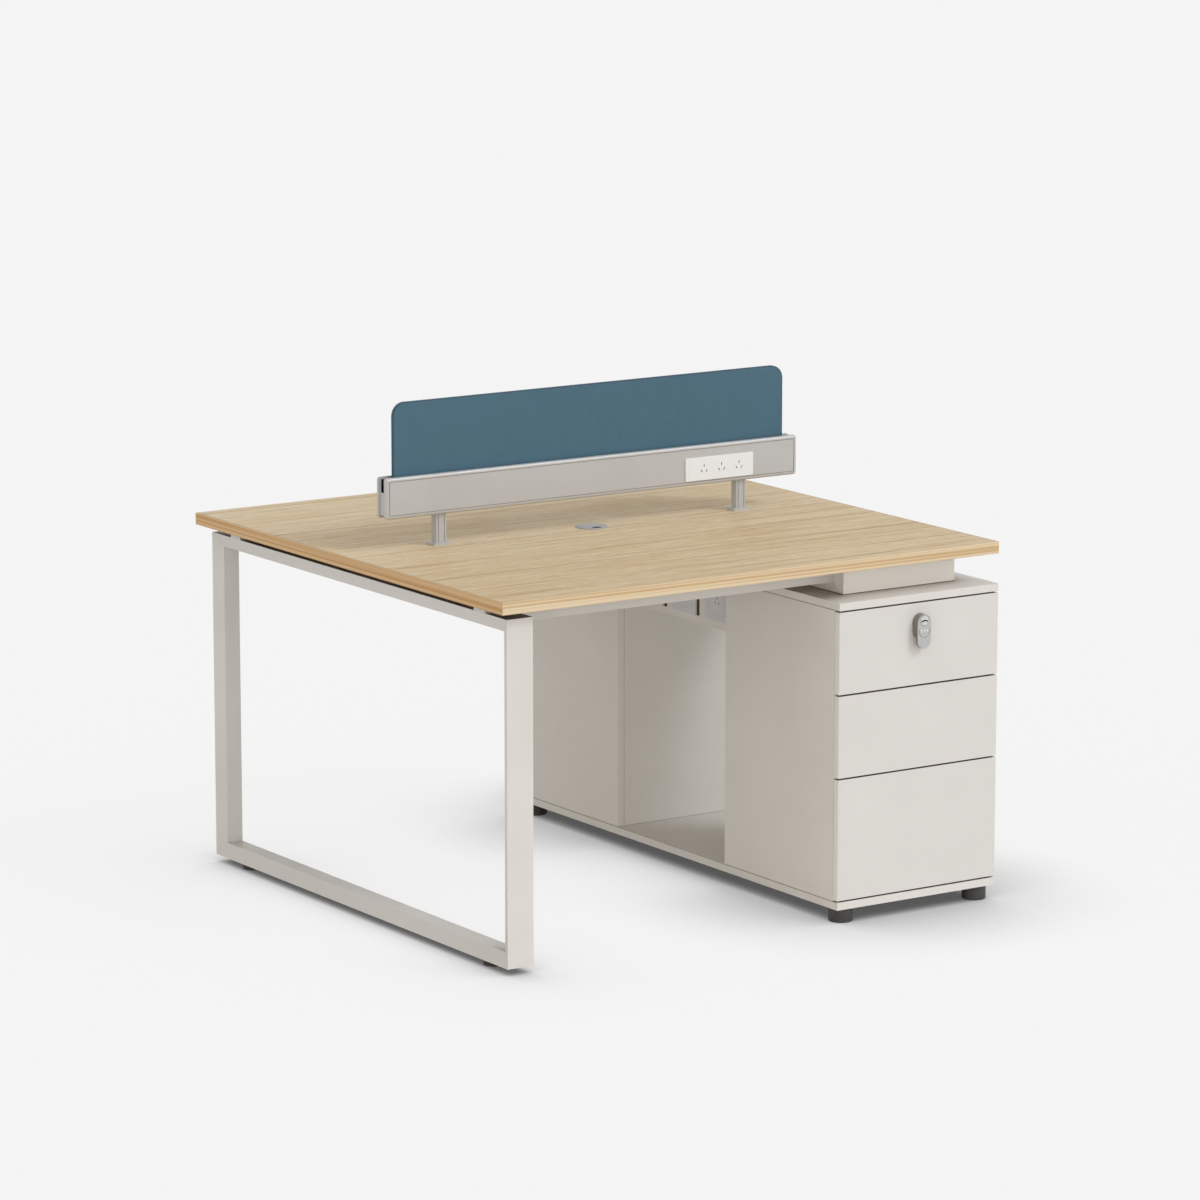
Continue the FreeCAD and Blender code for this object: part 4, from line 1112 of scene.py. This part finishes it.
tree, shader = new_finish("blue_panel", Sheen_Weight=0.12, Sheen_Roughness=0.45, IOR=1.35)
threads = use(tree, woven_threads, Thread=0.0009)
patches = use(tree, coat_skin, Bump_Size=0.003, Cloud_Size=0.09)
put(shader["Base Color"], blend_colours(tree, threads["Yarn"], yarn_dark, yarn_light))
# painted shade in the hollows of the weave
cloth_masks = {"Cloud": patches["Cloud"], "Pit Shade": sums(tree, "SUBTRACT", 1.0, threads["Height"])}
for name, (strength, colour) in cloth_layers.items():
    stain(tree, shader, times(tree, cloth_masks[name], strength), colour)
gloss_patches(tree, shader, smooth=0.72, rough=0.86, size=0.02)
raise_surface(tree, shader, threads["Height"], weave_depth)
print("finish blue_panel:", len(tree.nodes), "nodes")

# %% Rim of the screen
corner_r = 0.028
rim_w = 0.0024
rim_share = 0.6
rim_colour = paint(44, 70, 90)
screen_low, screen_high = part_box("divider_screen")
middle = (screen_low + screen_high) / 2

place = object_place(tree)
flat_x = screen_high.x - middle.x - corner_r
flat_z = screen_high.z - middle.z - corner_r
past_x = sums(tree, "SUBTRACT", from_middle(tree, place["X"], middle.x), flat_x)
past_z = sums(tree, "SUBTRACT", from_middle(tree, place["Z"], middle.z), flat_z)
outside = round_distance(tree, sums(tree, "MAXIMUM", past_x, 0.0), sums(tree, "MAXIMUM", past_z, 0.0))
rim = spread(tree, outside, corner_r - rim_w, corner_r - rim_w / 2)
stain(tree, shader, times(tree, rim, rim_share), rim_colour)
print("screen rim is", rim_w * 1000, "mm wide")

# %% [markdown]
# ## Numbers on the dials
# Each dial has ten lands, one for each number. Painted numbers would need a picture, so each is a
# flat letter shape of the font that comes with Blender. It is turned into a mesh and cut across
# several times, so that it can bend, and is then wrapped round the dial. Ten numbers make one
# piece, which turns with its dial.

# %% Mesh of one number
number_h = 0.0030
number_t = 0.00005
curve_steps = 3
same_point = 0.000001
cuts = 9


def flat_number(text):
    """A number of a given height round the origin, thin, cut across so that it can be bent."""
    letters = bpy.data.curves.new("number", "FONT")
    letters.body = text
    letters.size = number_h
    letters.extrude = number_t
    letters.resolution_u = curve_steps
    letters.align_x = "CENTER"
    letters.align_y = "CENTER"
    holder = bpy.data.objects.new("number", letters)
    flat = bpy.data.meshes.new_from_object(holder)
    shape = bmesh.new()
    shape.from_mesh(flat)
    bmesh.ops.remove_doubles(shape, verts=shape.verts[:], dist=same_point)
    for k in range(cuts):
        height = number_h * ((k + 0.5) / cuts - 0.5)
        every = shape.verts[:] + shape.edges[:] + shape.faces[:]
        bmesh.ops.bisect_plane(shape, geom=every, plane_co=(0, height, 0), plane_no=(0, 1, 0))
    bpy.data.objects.remove(holder)
    bpy.data.curves.remove(letters)
    bpy.data.meshes.remove(flat)
    return shape


print("number 8 has", len(flat_number("8").verts), "points")

# %% A piece from a shape
def make_piece(name, shape, slot):
    """A mesh piece with the finish of a slot."""
    bmesh.ops.recalc_face_normals(shape, faces=shape.faces[:])
    mesh = bpy.data.meshes.new(name)
    shape.to_mesh(mesh)
    shape.free()
    piece = bpy.data.objects.new(name, mesh)
    bpy.context.scene.collection.objects.link(piece)
    mesh.materials.append(finishes[slot])
    print(name, len(mesh.polygons), "faces")
    return piece


# %% Numbers wrapped round each dial
dial_r = (dial_high.z - dial_low.z) / 2
lands = 10


def dial_numbers(dial):
    """All numbers of one dial as a piece that rides on it."""
    low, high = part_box(dial)
    centre = (low + high) / 2
    front = -1 if centre.y < 0 else 1
    whole = bmesh.new()
    for k in range(lands):
        number = flat_number(str(k))
        for point in number.verts:
            angle = point.co.y / dial_r + 2 * pi * k / lands
            reach = dial_r + point.co.z
            sideways = -front * point.co.x
            point.co = centre + Vector((sideways, front * reach * cos(angle), reach * sin(angle)))
        mesh = bpy.data.meshes.new("number")
        number.to_mesh(mesh)
        number.free()
        whole.from_mesh(mesh)
        bpy.data.meshes.remove(mesh)
    piece = make_piece(dial + "_numbers", whole, "black_plastic")
    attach(piece, dial)


for side in ("near", "far"):
    for k in (1, 2, 3):
        dial_numbers(f"{side}_lock_dial_{k}")

# %% [markdown]
# ## Brush in the cable notch
# The grommet's cap has a notch for cables, closed by a small brush so that no pen falls through.
# The bristles are set in the rounded inner end of the notch and reach almost to the ring. A hair
# system could grow them, but it gives no mesh to export. Each is a thin tube that hangs a little
# at its tip, and a seeded random number bends each one its own way.

# %% Sizes of the brush
cap_low, cap_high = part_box("grommet_cap")
cap_r = (cap_high.x - cap_low.x) / 2
notch_half = 0.0105
notch_depth = 0.016
notch_mid_y = notch_depth - cap_r - notch_half
bristle_r = 0.00026
bristle_taper = 0.3
bristle_gap = 0.0007
bristle_sides = 5
bristle_steps = 5
set_in = 0.002
tip_clear = 0.0009
side_clear = 0.0008
rows = (-0.0004, -0.0012)
uneven_tip = (0, 0.0012)
uneven_bend = (-0.0005, 0.0005)
uneven_droop = (0.0002, 0.0011)
uneven_gap = (-0.00012, 0.00012)
print("cap radius", round(cap_r * 1000, 1), "mm")

# %% Bristles
random.seed(7)


def bristle(shape, x, base_z):
    """One bristle from the inner end of the notch towards the ring."""
    start = notch_mid_y + sqrt(notch_half ** 2 - x ** 2) + set_in
    end = -sqrt((cap_r - tip_clear) ** 2 - x ** 2) + random.uniform(*uneven_tip)
    bend = random.uniform(*uneven_bend)
    droop = random.uniform(*uneven_droop)
    loops = []
    for step in range(bristle_steps):
        share = step / (bristle_steps - 1)
        centre = Vector((x + bend * share ** 2, start + (end - start) * share, base_z - droop * share ** 2))
        thin = bristle_r * (1 - bristle_taper * share)
        loop = []
        for side in range(bristle_sides):
            turn = 2 * pi * side / bristle_sides
            loop.append(shape.verts.new(centre + Vector((thin * cos(turn), 0, thin * sin(turn)))))
        loops.append(loop)
    for first, second in zip(loops, loops[1:]):
        for k in range(bristle_sides):
            after = (k + 1) % bristle_sides
            shape.faces.new((first[k], first[after], second[after], second[k]))
    shape.faces.new(loops[0][::-1])
    shape.faces.new(loops[-1])


shape = bmesh.new()
bristles = int(2 * (notch_half - side_clear) / bristle_gap)
for row in rows:
    for k in range(bristles + 1):
        x = (k - bristles / 2) * bristle_gap + random.uniform(*uneven_gap)
        bristle(shape, x, cap_high.z + row)
brush = make_piece("grommet_brush", shape, "black_plastic")
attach(brush, "grommet_cap")

# %% [markdown]
# ## Dressing the frame
# Every node of the frame keeps its mesh and gets the finish of its slot. Real boards have edges
# rounded by about half a millimetre, and those thin lines catch the light. The edges could be cut
# into the solids, at the cost of many small faces. A Weld modifier joins the faces of the imported
# mesh instead, and a Bevel modifier then rounds its sharp edges, without a change to the mesh.

# %% Finishes and softened edges
softened = {"white_board": 0.0006, "front_board": 0.0012, "box_board": 0.0004, "oak_board": 0.0003}
weld_within = 0.00001
sharp_angle = radians(50)
edge_steps = 2


def soften(piece, width):
    """Rounds the sharp edges of a board with modifiers."""
    weld = piece.modifiers.new("join_faces", "WELD")
    weld.merge_threshold = weld_within
    rounding = piece.modifiers.new("soft_edges", "BEVEL")
    rounding.width = width
    rounding.segments = edge_steps
    rounding.limit_method = "ANGLE"
    rounding.angle_limit = sharp_angle


dressed = {}
for name, piece in nodes.items():
    slot = piece.material_slots[0].name
    piece.data.materials[0] = finishes[slot]
    dressed[slot] = dressed.get(slot, 0) + 1
    if slot in softened:
        soften(piece, softened[slot])
print("dressed:", dressed)
